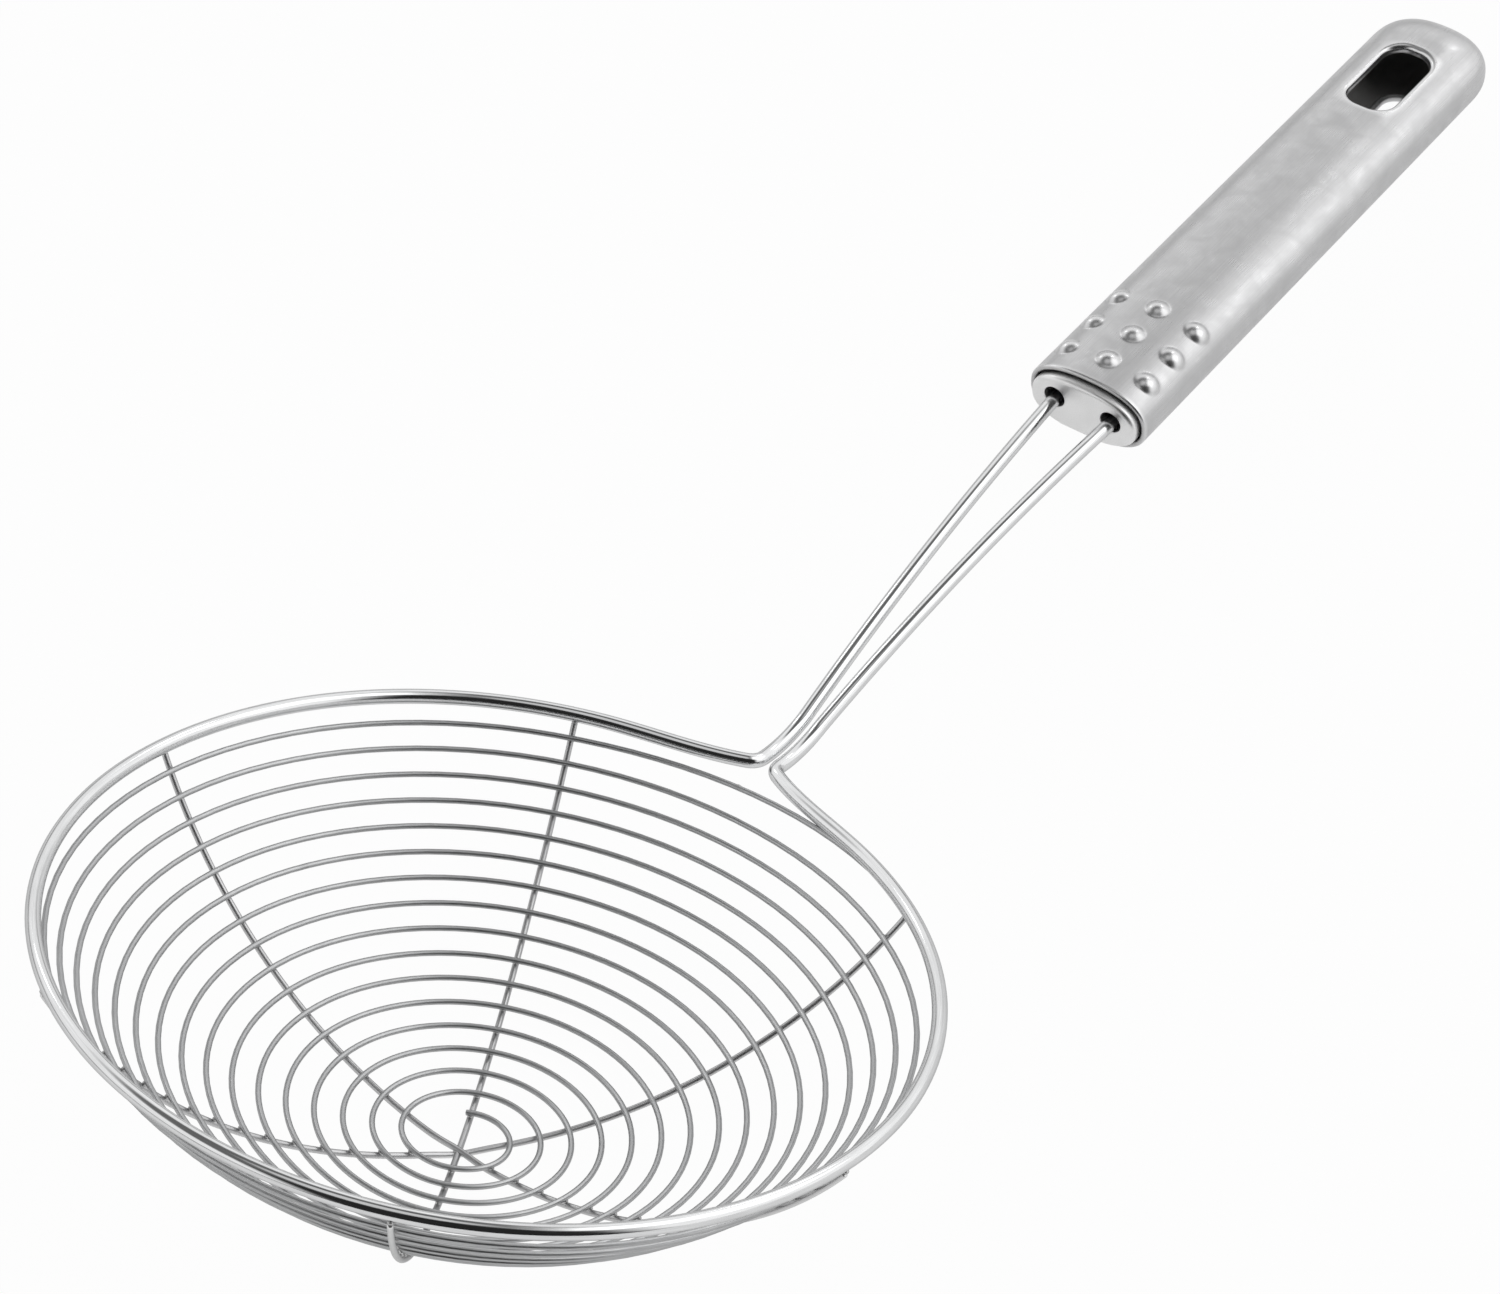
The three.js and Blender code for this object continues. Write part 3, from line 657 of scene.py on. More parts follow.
def slot_rings(handle, outer, inner, side):
    """Rings from a window of the handle's outer wall to the same window of its inner wall, through the hang
    slot. Each point of the window runs to the nearest point of a rounded rectangle, the slot grown by its
    lip, then round the lip on a quarter circle, down the pressed-in edge, round its end and back out along
    the inner wall. Returns the rings, and how far each is a polished edge and inside the handle."""
    middle = np.array([handle.length - handle.slot_to_tail - handle.slot_length / 2, 0])
    core = np.array([handle.slot_length, handle.slot_width]) / 2 - handle.slot_corner
    away = outer[:, :2] - middle
    hub = np.clip(away, -core, core)
    out = unit(away - hub)
    hub = hub + middle
    close = 0 if side > 0 else handle.slot_close

    def ring(grow, inset, drop):
        plan = hub + out * (handle.slot_corner + grow - close)
        z = wall_height(handle, plan, inset, side) - side * drop
        return np.concatenate([plan, z[:, None]], 1)

    def blend(far, near, inset, steps):
        plan = far[:, :2] + (near[:, :2] - far[:, :2]) * steps[:, None, None]
        return np.concatenate([plan, wall_height(handle, plan, inset, side)[..., None]], -1)

    lip, wall, deep = handle.slot_lip, handle.wall, handle.slot_flange
    skin = blend(outer, ring(lip, HAIR, 0), HAIR, np.linspace(0, 1, SKIN_STEPS + 1)[1:])
    turn = np.linspace(0, np.pi / 2, LIP_STEPS + 1)[1:]
    bend = [ring(lip * (1 - math.sin(t)), HAIR, lip * (1 - math.cos(t))) for t in turn]
    tip = ring(wall / 2, HAIR, deep + FLANGE_ROUND * wall)
    end = [ring(0, HAIR, deep), tip, ring(wall, HAIR, deep)]
    lining = blend(ring(wall, wall, 0), inner, wall, np.linspace(0, 1, LINING_STEPS + 1)[:-1])

    crest = np.concatenate([
        np.zeros(len(skin) - len(SLOT_POLISH_IN)), SLOT_POLISH_IN,
        np.ones(len(bend) - len(SLOT_POLISH_OUT)), SLOT_POLISH_OUT,
        np.zeros(len(end) + len(lining)),
    ])
    # Painted shade: the slot's pressed-in edge darkens into the hollow.
    inside = np.concatenate([np.zeros(len(skin) + len(bend)), SLOT_SHADE, np.ones(len(lining))])
    return np.concatenate([skin, bend, end, lining]), crest, inside


def handle_grid(handle):
    """Sections of the handle carried from the inner tail along the inner wall to the mouth, round its lip on
    a half circle and along the outer wall to the outer tail. Returns the grid, its marks crest (domes and
    edges) and inside, and the rows of the hang slot's window in the outer and in the inner wall."""
    wall = handle.wall
    slot_from = handle.length - handle.slot_to_tail - handle.slot_length - WINDOW_MARGIN
    domes_to = handle.dome_start + (handle.dome_rows - 1) * handle.dome_row_pitch + handle.dome_diameter
    window_x = np.linspace(slot_from, handle.length - handle.tail_round, WINDOW_ROWS)
    domed_x = np.linspace(wall / 2, domes_to, DOMED_ROWS)
    outer_x = np.concatenate([domed_x, np.linspace(domes_to, slot_from, PLAIN_ROWS)[1:], window_x[1:]])
    inner_x = np.concatenate([np.linspace(wall / 2, slot_from, LINING_ROWS), window_x[1:]])
    turns = even_turns(handle.mouth_width / 2, handle.thickness / 2, handle.section_power, HANDLE_SIDES)
    outer, domes = raise_domes(handle, wall_sections(handle, outer_x, HAIR, OUTER_TAIL_ROWS, turns))
    inner = wall_sections(handle, inner_x, wall, INNER_TAIL_ROWS, turns)

    half = (outer[0] + inner[0]) / 2
    lift = np.linspace(np.pi, 0, MOUTH_LIP_STEPS + 1)[1:-1, None, None]
    lip = half + (outer[0] - half) * np.cos(lift) - np.array([wall / 2, 0, 0]) * np.sin(lift)
    domes[: len(MOUTH_POLISH)] = np.array(MOUTH_POLISH)[:, None]
    crest = np.concatenate([np.zeros(inner.shape[:2]), np.ones(lip.shape[:2]), domes])
    # Painted shade: the mouth's lip darkens from its outer side into the hollow.
    shade = np.linspace(MOUTH_SHADE, 0, len(lip))
    inside = np.concatenate([np.ones(len(inner)), shade, np.zeros(len(outer))])

    along = np.arange(WINDOW_ROWS)
    outer_rows = len(inner) + len(lip) + len(outer_x) - WINDOW_ROWS + along
    inner_rows = len(inner) - 1 - (len(inner_x) - WINDOW_ROWS + along)
    grid = np.concatenate([inner[::-1], lip, outer])
    return grid, crest, np.repeat(inside, HANDLE_SIDES), (outer_rows, inner_rows)


def handle_shape(handle):
    """The pressed steel handle as one closed skin: its grid of sections, with a window at the hang slot in
    the upper and in the lower walls, the slot's rings in the windows and a pole at the end of each tail.
    Returns points, faces and the marks crest, inside and grain, which is a place on a round bar."""
    sides = HANDLE_SIDES
    grid, crest, inside, window_rows = handle_grid(handle)
    numbers = number(grid.shape[:2])
    quads = loop_quads(numbers)
    kept = np.ones(quads.shape[:2], bool)
    points, crests, insides, faces = [grid.reshape(-1, 3)], [crest.ravel()], [inside], []
    reach = round(WINDOW_REACH * sides / 2)
    for side, centre in ((1, sides // 4), (-1, 3 * sides // 4)):
        columns = centre + np.arange(-reach, reach + 1)
        for rows in window_rows:
            kept[min(rows) : max(rows), columns[0] : columns[-1]] = False
        loops = [window(rows, columns, sides) for rows in window_rows]
        rings, ring_crest, ring_inside = slot_rings(handle, points[0][loops[0]], points[0][loops[1]], side)
        ring_numbers = number(rings.shape[:2], sum(map(len, points)))
        faces.append(loop_quads(np.concatenate([loops[:1], ring_numbers, loops[1:]])).reshape(-1, 4))
        points.append(rings.reshape(-1, 3))
        crests.append(np.repeat(ring_crest, rings.shape[1]))
        insides.append(np.repeat(ring_inside, rings.shape[1]))
    faces.append(quads[kept])

    pole = sum(map(len, points))
    faces.append(np.concatenate([fan(pole, numbers[0], True), fan(pole + 1, numbers[-1])]))
    points = np.concatenate([*points, [[handle.length - handle.wall, 0, 0], [handle.length - HAIR, 0, 0]]])
    girth = handle.mouth_width / 2
    around = np.arctan2(points[:, 2], points[:, 1] * handle.thickness / handle.mouth_width)
    marks = {
        "crest": np.concatenate([*crests, [0, 0]]),
        "inside": np.concatenate([*insides, [1, 0]]),
        "grain": np.stack([girth * np.cos(around), girth * np.sin(around), points[:, 0]], -1),
    }
    used = np.zeros(len(points), bool)
    for part in faces:
        used[part] = True
    renumber = np.cumsum(used) - 1
    faces = [row for part in faces for row in renumber[part].tolist()]
    return points[used], faces, {name: values[used] for name, values in marks.items()}


def plug_shape(handle, stem, bowl):
    """The oval plug: its edge is a section carried from the face round a quarter circle to the back, and each
    half of its face is drawn in rings from its border to a hole, through it and to the back's border."""
    inset = handle.wall + handle.plug_clearance
    wide = half_width(handle, handle.plug_depth) - inset
    high = handle.thickness / 2 - inset
    turns = even_turns(wide, high, handle.section_power, PLUG_SIDES)
    front, back, edge = -handle.plug_proud, handle.plug_depth, handle.plug_round
    hole, soft = bowl.rim_wire / 2 + handle.hole_slack, handle.hole_round
    centre = np.array([0, stem.spread / 2, handle.stem_offset + handle.hole_slack - bowl.weld_gap])
    quarter = PLUG_SIDES // 4
    order = np.arange(-quarter, quarter + 1) % PLUG_SIDES

    def oval(x, shrink):
        y = (wide - shrink) * bulge(np.cos(turns), handle.section_power)
        z = (high - shrink) * bulge(np.sin(turns), handle.section_power)
        return np.stack([np.full_like(y, x), y, np.maximum(z, handle.land - high + shrink)], -1)

    def border(x, shrink):
        ring = oval(x, shrink)[order]
        line = ring[-1] + (ring[0] - ring[-1]) * np.linspace(0, 1, PLUG_LINE_STEPS + 1)[1:-1, None]
        return np.concatenate([ring, line])

    def hole_ring(x, radius):
        ring = centre + way * radius
        ring[:, 0] = x
        return ring

    turn = np.linspace(0, np.pi / 2, PLUG_EDGE_RINGS)
    rim = [oval(front + edge * (1 - math.cos(t)), edge * (1 - math.sin(t))) for t in turn] + [oval(back, 0)]

    outer, inner = border(front, edge), border(back, 0)
    way = unit((outer - centre) * [0, 1, 1])
    mouth, far = hole_ring(front, hole + soft), hole_ring(back, hole)
    face = outer + (mouth - outer) * np.linspace(0, 1, PLUG_FACE_RINGS)[:, None, None]
    turn = np.linspace(0, np.pi / 2, HOLE_LIP_STEPS + 1)[1:]
    lip = [hole_ring(front + soft * (1 - math.cos(t)), hole + soft * (1 - math.sin(t))) for t in turn]
    rear = far + (inner - far) * np.linspace(0, 1, PLUG_BACK_RINGS)[:, None, None]
    half = np.concatenate([face, lip, rear])

    points, faces = [], []
    for rings in (np.stack(rim), half, half * [1, -1, 1]):
        numbers = number(rings.shape[:2], sum(map(len, points)))
        points.append(rings.reshape(-1, 3))
        faces.append(loop_quads(numbers).reshape(-1, 4))
    return np.concatenate(points), np.concatenate(faces).tolist()


# Materials


def add(tree, kind, inputs=None, **settings):
    """A node with its settings, and its inputs set to a value or linked from a socket."""
    node = tree.nodes.new(kind)
    for name, value in settings.items():
        setattr(node, name, value)
    for name, value in (inputs or {}).items():
        if isinstance(value, bpy.types.NodeSocket):
            tree.links.new(value, node.inputs[name])
        else:
            node.inputs[name].default_value = value
    return node


def ramp(tree, value, low, high, to=(0.0, 1.0), smooth=False):
    """A value taken from one range to another, evenly or with eased ends, and held past both."""
    ends = {"Value": value, "From Min": low, "From Max": high, "To Min": to[0], "To Max": to[1]}
    kind = "SMOOTHSTEP" if smooth else "LINEAR"
    return add(tree, "ShaderNodeMapRange", ends, interpolation_type=kind).outputs["Result"]


def work_out(tree, operation, *values):
    """The result of one operation on values or sockets."""
    return add(tree, "ShaderNodeMath", dict(enumerate(values)), operation=operation).outputs[0]


def mix_values(tree, factor, first, second):
    """A value between two values."""
    return add(tree, "ShaderNodeMix", {0: factor, 2: first, 3: second}, data_type="FLOAT").outputs[0]


def mix_colours(tree, factor, first, second):
    """A colour between two colours."""
    return add(tree, "ShaderNodeMix", {0: factor, 6: first, 7: second}, data_type="RGBA").outputs[2]


def mask(tree, name):
    """The value of one of the piece's own attributes."""
    return add(tree, "ShaderNodeAttribute", attribute_name=name).outputs["Fac"]


def times(base, factor):
    """A colour times a factor, no brighter than white."""
    return (*(min(1.0, factor * part) for part in base), 1)


def group(name, inputs, output):
    """An empty node group with named inputs and one named output, and its two end nodes."""
    tree = bpy.data.node_groups.new(name, "ShaderNodeTree")
    for socket, kind, default in inputs:
        made = tree.interface.new_socket(socket, in_out="INPUT", socket_type=kind)
        if default is not None:
            made.default_value = default
    tree.interface.new_socket(output, in_out="OUTPUT", socket_type="NodeSocketFloat")
    return tree, tree.nodes.new("NodeGroupInput").outputs, tree.nodes.new("NodeGroupOutput").inputs


def drawn_streaks():
    """Fine lines along a drawn or brushed surface: noise on the grain's place, stretched along it."""
    if "drawn_streaks" in bpy.data.node_groups:
        return bpy.data.node_groups["drawn_streaks"]
    sizes = [("Width", "NodeSocketFloat", 1e-4), ("Length", "NodeSocketFloat", 5e-3)]
    tree, given, out = group("drawn_streaks", [("Grain", "NodeSocketVector", None), *sizes], "Streaks")
    width, run = given["Width"], given["Length"]
    size = add(tree, "ShaderNodeCombineXYZ", {"X": width, "Y": width, "Z": run}).outputs[0]
    place = add(tree, "ShaderNodeVectorMath", {0: given["Grain"], 1: size}, operation="DIVIDE").outputs[0]
    look = {"Vector": place, "Scale": 1.0, "Detail": 3.0, "Roughness": 0.62}
    noise = add(tree, "ShaderNodeTexNoise", look)
    tree.links.new(noise.outputs["Fac"], out["Streaks"])
    return tree


def handling_marks():
    """Soft clouds left by wiping and handling: low noise on Object coordinates, cut to a mask."""
    if "handling_marks" in bpy.data.node_groups:
        return bpy.data.node_groups["handling_marks"]
    sizes = [("Size", "NodeSocketFloat", 0.01)]
    tree, given, out = group("handling_marks", [("Place", "NodeSocketVector", None), *sizes], "Marks")
    ends = {0: given["Place"], 1: given["Size"]}
    place = add(tree, "ShaderNodeVectorMath", ends, operation="DIVIDE").outputs[0]
    look = {"Vector": place, "Scale": 1.0, "Detail": 4.0, "Roughness": 0.55, "Distortion": 0.6}
    noise = add(tree, "ShaderNodeTexNoise", look)
    tree.links.new(ramp(tree, noise.outputs["Fac"], *MARK_CUT), out["Marks"])
    return tree


def steel(name, base, rough, streak_width, streak_length, mark_size, depth, wear=0.22):
    """A steel whose colour, roughness and fine bump follow its grain and its handling marks. Returns the
    material, its tree, its shader and the sockets of colour and roughness, for a finish that adds to them."""
    material = bpy.data.materials.new(name)
    material.use_nodes = True
    tree = material.node_tree
    shader = tree.nodes["Principled BSDF"]
    shader.inputs["Metallic"].default_value = 1.0
    grain = add(tree, "ShaderNodeAttribute", attribute_name="grain").outputs["Vector"]
    place = add(tree, "ShaderNodeTexCoord").outputs["Object"]
    lines = {"Grain": grain, "Width": streak_width, "Length": streak_length}
    streaks = add(tree, "ShaderNodeGroup", lines, node_tree=drawn_streaks()).outputs[0]
    clouds = {"Place": place, "Size": mark_size}
    marks = add(tree, "ShaderNodeGroup", clouds, node_tree=handling_marks()).outputs[0]

    dull = times(base, DULL)
    streaked = mix_colours(tree, ramp(tree, streaks, *STREAK_SHADES), dull, times(base, BRIGHT))
    clouded = mix_colours(tree, work_out(tree, "MULTIPLY", marks, wear), streaked, dull)
    fine = ramp(tree, streaks, *STREAK_ROUGHS, (FINEST * rough, COARSEST * rough))
    rougher = work_out(tree, "MULTIPLY_ADD", marks, HANDLED * rough, fine)
    bump = add(tree, "ShaderNodeBump", {"Height": streaks, "Strength": 1.0, "Distance": depth})
    tree.links.new(clouded, shader.inputs["Base Color"])
    tree.links.new(rougher, shader.inputs["Roughness"])
    tree.links.new(bump.outputs[0], shader.inputs["Normal"])
    return material, tree, shader, clouded, rougher


def wire_steel(name, base, rough, edge, outside=None, **grain):
    """A steel for wire, darker where the wire turns away from the eye, as drawn steel is, and painted bright
    with another colour where the outer attribute marks a side: a painted highlight."""
    material, tree, shader, tint, _ = steel(name, base, rough, **grain)
    shader.inputs["Specular Tint"].default_value = (*edge, 1)
    if outside is not None:
        # Painted highlight: the marked outer side takes the near-white outside colour.
        highlighted = mix_colours(tree, mask(tree, "outer"), tint, (*outside, 1))
        tree.links.new(highlighted, shader.inputs["Base Color"])
    return material


def rim_finish(finish):
    """Bright polished wire with long fine lines."""
    return wire_steel(
        "polished_rim_wire", finish.rim, finish.rim_rough, finish.edge,
        streak_width=1.5e-4, streak_length=6e-3, mark_size=9e-3, depth=2e-6,
    )


def mesh_finish(finish, name, base, outside=None):
    """Duller drawn wire of the bowl."""
    return wire_steel(
        name, base, finish.mesh_rough, finish.edge, outside,
        streak_width=8e-5, streak_length=3e-3, mark_size=7e-3, depth=2e-6,
    )


def weld_finish(finish):
    """Grainy steel that has run."""
    return steel(
        "weld_steel", finish.weld, finish.weld_rough,
        streak_width=1.6e-4, streak_length=2.4e-4, mark_size=2e-3, depth=8e-6,
    )[0]


def handle_finish(finish):
    """Satin steel, brushed along the handle, that is brighter and smoother where the crest attribute marks
    domes and edges, and dark where the inside attribute marks the hollow: unpolished steel and painted shade."""
    material, tree, shader, tint, rough = steel(
        "satin_handle_steel", finish.handle, finish.handle_rough,
        streak_width=1.1e-4, streak_length=9e-3, mark_size=4.5e-3, depth=3e-6, wear=0.55,
    )
    crest, inside = mask(tree, "crest"), mask(tree, "inside")
    bright = mix_colours(tree, crest, tint, times(finish.handle, POLISHED))
    smooth = mix_values(tree, crest, rough, finish.edge_rough)
    # The hollow's dark colour is partly unpolished steel and partly painted shade.
    looks = {
        "Base Color": mix_colours(tree, inside, bright, (*finish.hollow, 1)),
        "Roughness": mix_values(tree, inside, smooth, HOLLOW_ROUGH),
        "Metallic": ramp(tree, inside, 0.0, 1.0, (1.0, HOLLOW_METAL)),
    }
    for socket, look in looks.items():
        tree.links.new(look, shader.inputs[socket])
    return material


def plug_finish(finish):
    """Satin steel with an even grain."""
    return steel(
        "satin_plug_steel", finish.plug, finish.plug_rough,
        streak_width=1.4e-4, streak_length=1.4e-4, mark_size=5e-3, depth=4e-6, wear=0.1,
    )[0]


# Pieces


def add_piece(name, points, faces, material, nodes=(), attributes=None):
    """A smooth mesh at the origin with its place in its points, which rides on the part's one body."""
    mesh = bpy.data.meshes.new(name)
    mesh.from_pydata(points.tolist(), [], faces)
    mesh.shade_smooth()
    for label, values in (attributes or {}).items():
        kind, field = ("FLOAT_VECTOR", "vector") if values.ndim == 2 else ("FLOAT", "value")
        made = mesh.attributes.new(label, kind, "POINT")
        made.data.foreach_set(field, np.ascontiguousarray(values, np.float32).ravel())
    mesh.materials.append(material)
    if mesh.validate():
        raise RuntimeError(f"the mesh of {name} has faulty faces")
    piece = bpy.data.objects.new(name, mesh)
    bpy.context.scene.collection.objects.link(piece)
    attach(piece, "root")
    if nodes:
        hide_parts(*nodes)
    return piece


def close_seams(mesh):
    """Joins the points that the parts of a shape share, and turns every face outwards."""
    work = bmesh.new()
    work.from_mesh(mesh)
    bmesh.ops.remove_doubles(work, verts=work.verts, dist=SEAM)
    bmesh.ops.recalc_face_normals(work, faces=work.faces)
    work.to_mesh(mesh)
    work.free()


class StrainerRim(bpy.types.Operator):
    """Makes the rim wire with its neck and its two stems"""

    bl_idname = "strainer.rim"
    bl_label = "Rim and stems"

    def execute(self, context):
        scene = context.scene
        bowl = scene.strainer_bowl
        path = rim_path(bowl, scene.strainer_stem, scene.strainer_handle)
        points, faces, grain = wire(path, UP, bowl.rim_wire / 2 - HAIR, RIM_SIDES)
        finish = rim_finish(scene.strainer_finish)
        marks = {"grain": grain}
        add_piece("rim_and_stems", to_row(points), faces, finish, ["rim_frame"], marks)
        return {"FINISHED"}


class StrainerSpiral(bpy.types.Operator):
    """Makes the spiral wire of the bowl"""

    bl_idname = "strainer.spiral"
    bl_label = "Spiral"

    def execute(self, context):
        scene = context.scene
        bowl, finishes = scene.strainer_bowl, scene.strainer_finish
        points, faces, grain = wire(spiral_path(bowl), UP, bowl.spiral_wire / 2, SPIRAL_SIDES)
        finish = mesh_finish(finishes, "drawn_spiral_wire", finishes.spiral)
        marks = {"grain": grain}
        add_piece("bowl_spiral", to_row(points), faces, finish, ["spiral_wire"], marks)
        return {"FINISHED"}


class StrainerRibs(bpy.types.Operator):
    """Makes the three ribs that carry the spiral"""

    bl_idname = "strainer.ribs"
    bl_label = "Ribs"

    def execute(self, context):
        scene = context.scene
        bowl, finishes = scene.strainer_bowl, scene.strainer_finish
        finish = mesh_finish(finishes, "drawn_rib_wire", finishes.rib, finishes.rib_painted_highlight)
        for name, azimuth, layer in rib_azimuths(bowl):
            aside = np.array([-math.sin(azimuth), math.cos(azimuth), 0])
            path = rib_path(bowl, azimuth, layer)
            points, faces, grain = wire(path, aside, bowl.rib_wire / 2 - HAIR, RIB_SIDES)
            # outer masks the rib's painted highlight
            marks = {"grain": grain, "outer": rib_painted_highlight(bowl, points)}
            node = "rib_" + name
            add_piece("bowl_" + node, to_row(points), faces, finish, [node], marks)
        return {"FINISHED"}


class StrainerWelds(bpy.types.Operator):
    """Makes the small welds that join the wires"""

    bl_idname = "strainer.welds"
    bl_label = "Welds"

    def execute(self, context):
        scene = context.scene
        points, faces = nuggets(*weld_places(scene.strainer_bowl))
        finish = weld_finish(scene.strainer_finish)
        add_piece("spot_welds", to_row(points), faces, finish, attributes={"grain": points})
        return {"FINISHED"}


class StrainerHandle(bpy.types.Operator):
    """Makes the hollow handle with its grip domes and its hang slot"""

    bl_idname = "strainer.handle"
    bl_label = "Handle"

    def execute(self, context):
        scene = context.scene
        handle = scene.strainer_handle
        points, faces, marks = handle_shape(handle)
        finish = handle_finish(scene.strainer_finish)
        row = handle_to_row(points, handle)
        add_piece("grip_handle", row, faces, finish, ["handle_tube"], marks)
        return {"FINISHED"}


class StrainerPlug(bpy.types.Operator):
    """Makes the plug that closes the handle's mouth round the stems"""

    bl_idname = "strainer.plug"
    bl_label = "Plug"

    def execute(self, context):
        scene = context.scene
        handle = scene.strainer_handle
        points, faces = plug_shape(handle, scene.strainer_stem, scene.strainer_bowl)
        finish = plug_finish(scene.strainer_finish)
        row = handle_to_row(points, handle)
        piece = add_piece("mouth_plug", row, faces, finish, ["end_plug"], {"grain": points})
        close_seams(piece.data)
        return {"FINISHED"}


# Studio


def make_floor(scene, studio):
    """A square on the table's level. Part of its brightness is its own, more for the camera than for
    reflections, so it shows nearly white and still keeps a little of the object's shadow."""
    mesh = bpy.data.meshes.new("floor")
    corners = studio.floor_size / 2 * np.array([[-1, -1, 0], [1, -1, 0], [1, 1, 0], [-1, 1, 0]])
    mesh.from_pydata(corners.tolist(), [], [[0, 1, 2, 3]])
    material = bpy.data.materials.new("pale_floor")
    material.use_nodes = True
    tree = material.node_tree
    tree.nodes.clear()
    lit = add(tree, "ShaderNodeBsdfDiffuse", {"Color": (*studio.floor, 1)})
    glow = add(tree, "ShaderNodeEmission", {"Color": WHITE, "Strength": 1.0})
    ray = add(tree, "ShaderNodeLightPath").outputs
    shine = work_out(tree, "MULTIPLY", ray["Is Glossy Ray"], studio.floor_shine)
    part = work_out(tree, "MULTIPLY_ADD", ray["Is Camera Ray"], studio.floor_white, shine)
    both = add(tree, "ShaderNodeMixShader", {0: part, 1: lit.outputs[0], 2: glow.outputs[0]})
    add(tree, "ShaderNodeOutputMaterial", {"Surface": both.outputs[0]})
    mesh.materials.append(material)
    floor = bpy.data.objects.new("floor", mesh)
    scene.collection.objects.link(floor)


def studio_walls(tree, studio):
    """Brightness of the studio by direction: far walls that are bright, dim just over the floor and brightest
    at the right, a dark cove over them except at the right, a ceiling that is brighter straight overhead, and
    one narrow dark wall behind the camera. Every change is gradual."""
    way = add(tree, "ShaderNodeTexCoord").outputs["Generated"]
    near = Vector(studio.camera_place) - Vector(studio.camera_aim)
    near.z = 0
    near.normalize()
    toward, aside = (
        add(tree, "ShaderNodeVectorMath", {0: way, 1: axis}, operation="DOT_PRODUCT").outputs["Value"]
        for axis in (near, near.cross(Vector(UP)))
    )
    height = add(tree, "ShaderNodeSeparateXYZ", {0: way}).outputs["Z"]
    high, low = (
        ramp(tree, aside, *RIGHT_ASIDE, (studio.right_light, level))
        for level in (studio.far_light, studio.skirting_light)
    )
    walls = ramp(tree, height, *SKIRTING_HEIGHT, (low, high), smooth=True)
    raised = ramp(tree, height, *COVE_HEIGHT, smooth=True)
    cove = work_out(tree, "MULTIPLY", raised, ramp(tree, aside, *COVE_ASIDE, smooth=True))
    walls = mix_values(tree, cove, walls, studio.cove_light)
    overhead = ramp(tree, height, *CEILING_HEIGHT, smooth=True)
    walls = mix_values(tree, overhead, walls, studio.ceiling_light)
    narrow = ramp(tree, work_out(tree, "ABSOLUTE", aside), *NEAR_ASIDE, (1.0, 0.0), smooth=True)
    behind = work_out(tree, "MULTIPLY", ramp(tree, toward, *NEAR_TOWARD, smooth=True), narrow)
    return mix_values(tree, behind, walls, studio.near_light)


def make_light(scene, studio):
    """The studio's walls, which the camera sees as plain white, a large soft box high at the right and two
    small lamps for the domes' sparkle."""
    world = bpy.data.worlds.new("studio")
    scene.world = world
    world.use_nodes = True
    tree = world.node_tree
    tree.nodes.clear()
    seen = add(tree, "ShaderNodeLightPath").outputs["Is Camera Ray"]
    strength = mix_values(tree, seen, studio_walls(tree, studio), 1.0)
    back = add(tree, "ShaderNodeBackground", {"Color": WHITE, "Strength": strength})
    add(tree, "ShaderNodeOutputWorld", {"Surface": back.outputs[0]})

    for name, place, size, power in LAMPS:
        lamp = bpy.data.lights.new(name, "AREA")
        lamp.shape = "SQUARE"
        lamp.size = size
        lamp.energy = power
        box = bpy.data.objects.new(name, lamp)
        box.location = place
        box.rotation_mode = "QUATERNION"
        box.rotation_quaternion = (-Vector(place)).to_track_quat("-Z", "Y")
        box.visible_camera = False
        scene.collection.objects.link(box)


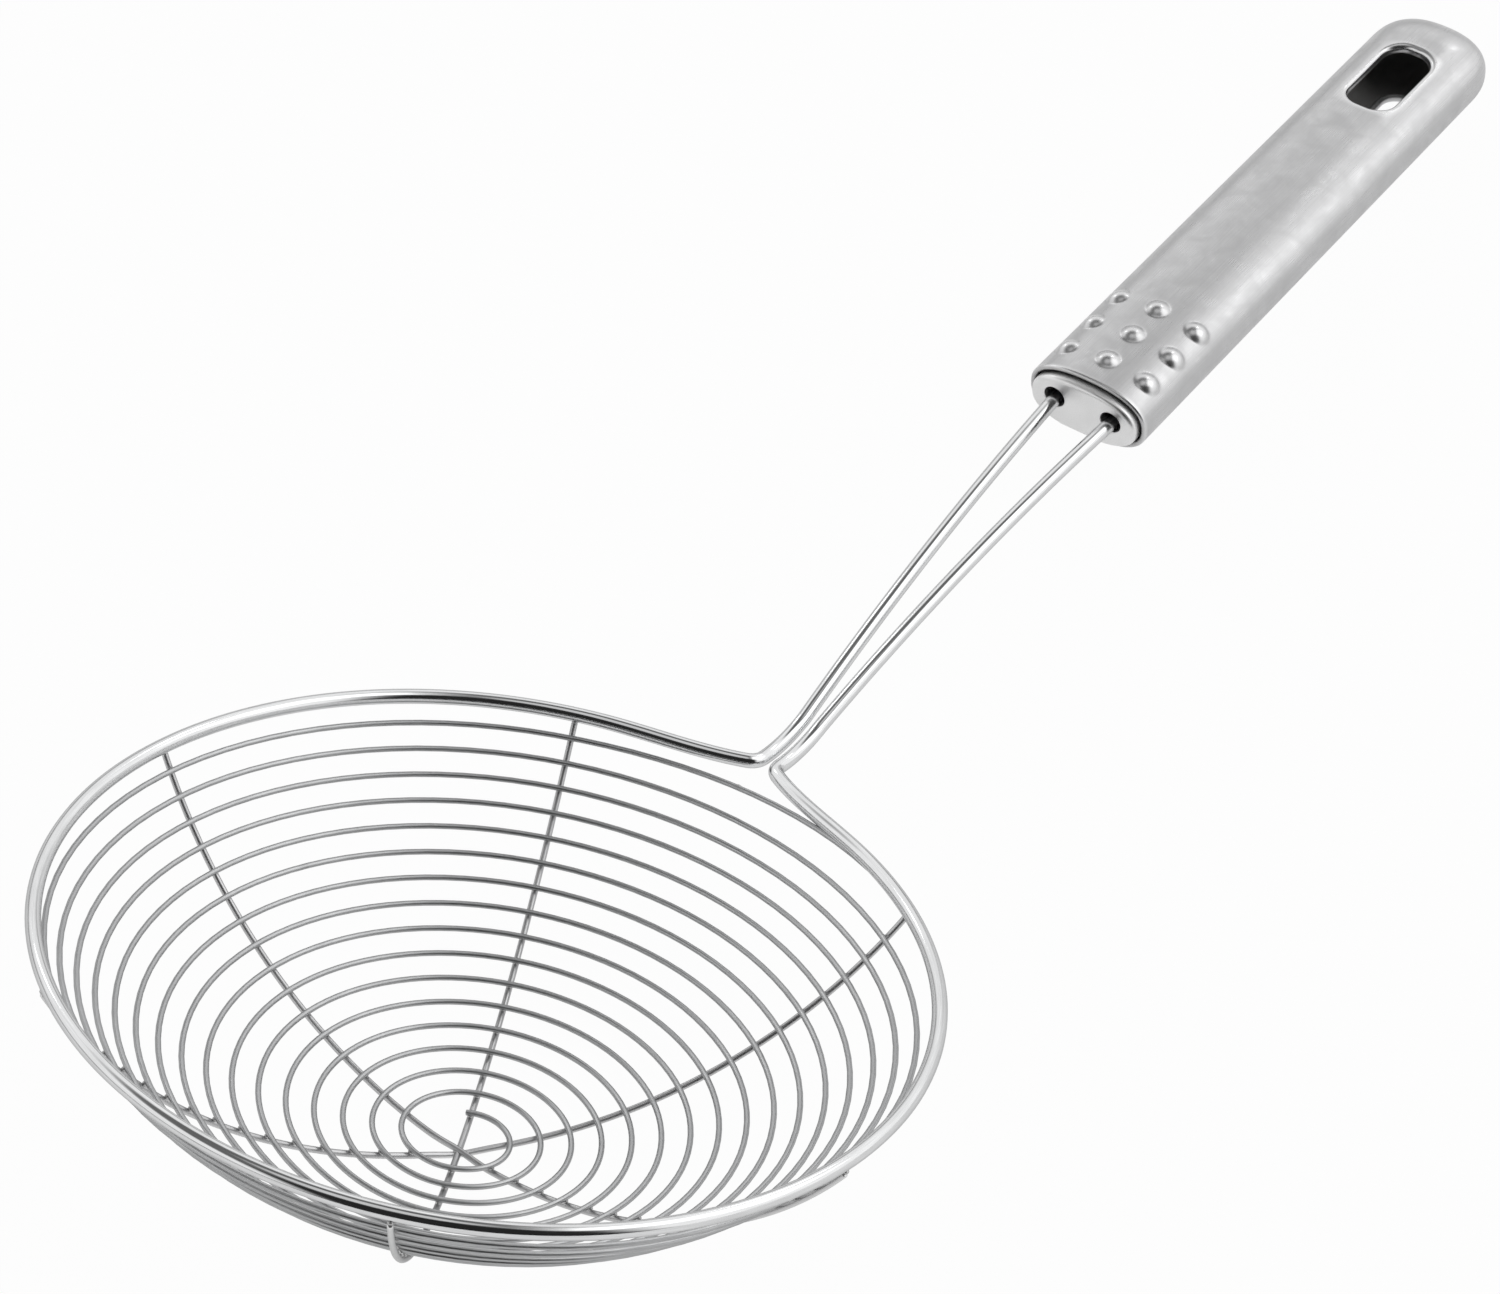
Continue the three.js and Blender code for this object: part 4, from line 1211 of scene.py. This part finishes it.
def make_camera(scene, studio):
    """A camera at its place, turned to its aim and rolled about its line of sight."""
    data = bpy.data.cameras.new("camera")
    data.lens = studio.camera_lens
    data.sensor_width = SENSOR_WIDTH
    data.dof.use_dof = False
    camera = bpy.data.objects.new("camera", data)
    place, aim = Vector(studio.camera_place), Vector(studio.camera_aim)
    camera.location = place
    camera.rotation_mode = "QUATERNION"
    roll = Quaternion((0, 0, 1), -studio.camera_roll)
    camera.rotation_quaternion = (aim - place).to_track_quat("-Z", "Y") @ roll
    scene.collection.objects.link(camera)
    scene.camera = camera


class StrainerStudio(bpy.types.Operator):
    """Makes the pale floor, the soft light and the camera"""

    bl_idname = "strainer.studio"
    bl_label = "Studio"

    def execute(self, context):
        scene = context.scene
        studio = scene.strainer_studio
        make_floor(scene, studio)
        make_light(scene, studio)
        make_camera(scene, studio)
        scene.view_settings.view_transform = "Standard"
        return {"FINISHED"}


# Add-on


class StrainerPanel(bpy.types.Panel):
    """Lists the strainer's pieces and their sizes"""

    bl_idname = "VIEW3D_PT_strainer"
    bl_label = "Strainer"
    bl_space_type = "VIEW_3D"
    bl_region_type = "UI"
    bl_category = "Strainer"

    def draw(self, context):
        for operator in OPERATORS:
            self.layout.operator(operator.bl_idname)
        for name, sizes in SETTINGS.items():
            box = self.layout.box()
            box.label(text=sizes.__doc__)
            for key in sizes.__annotations__:
                box.prop(getattr(context.scene, name), key)


SETTINGS = {
    "strainer_bowl": BowlSizes,
    "strainer_stem": StemSizes,
    "strainer_handle": HandleSizes,
    "strainer_finish": Finishes,
    "strainer_studio": StudioSettings,
}
OPERATORS = (
    StrainerRim, StrainerSpiral, StrainerRibs, StrainerWelds, StrainerHandle, StrainerPlug, StrainerStudio,
)


def register():
    for each in (*SETTINGS.values(), *OPERATORS, StrainerPanel):
        bpy.utils.register_class(each)
    for name, sizes in SETTINGS.items():
        setattr(bpy.types.Scene, name, PointerProperty(type=sizes))


def unregister():
    for name in SETTINGS:
        delattr(bpy.types.Scene, name)
    for each in (StrainerPanel, *reversed(OPERATORS), *reversed(SETTINGS.values())):
        bpy.utils.unregister_class(each)


def main():
    register()
    bpy.ops.strainer.rim()
    bpy.ops.strainer.spiral()
    bpy.ops.strainer.ribs()
    bpy.ops.strainer.welds()
    bpy.ops.strainer.handle()
    bpy.ops.strainer.plug()
    bpy.ops.strainer.studio()


if __name__ == "__main__":
    main()
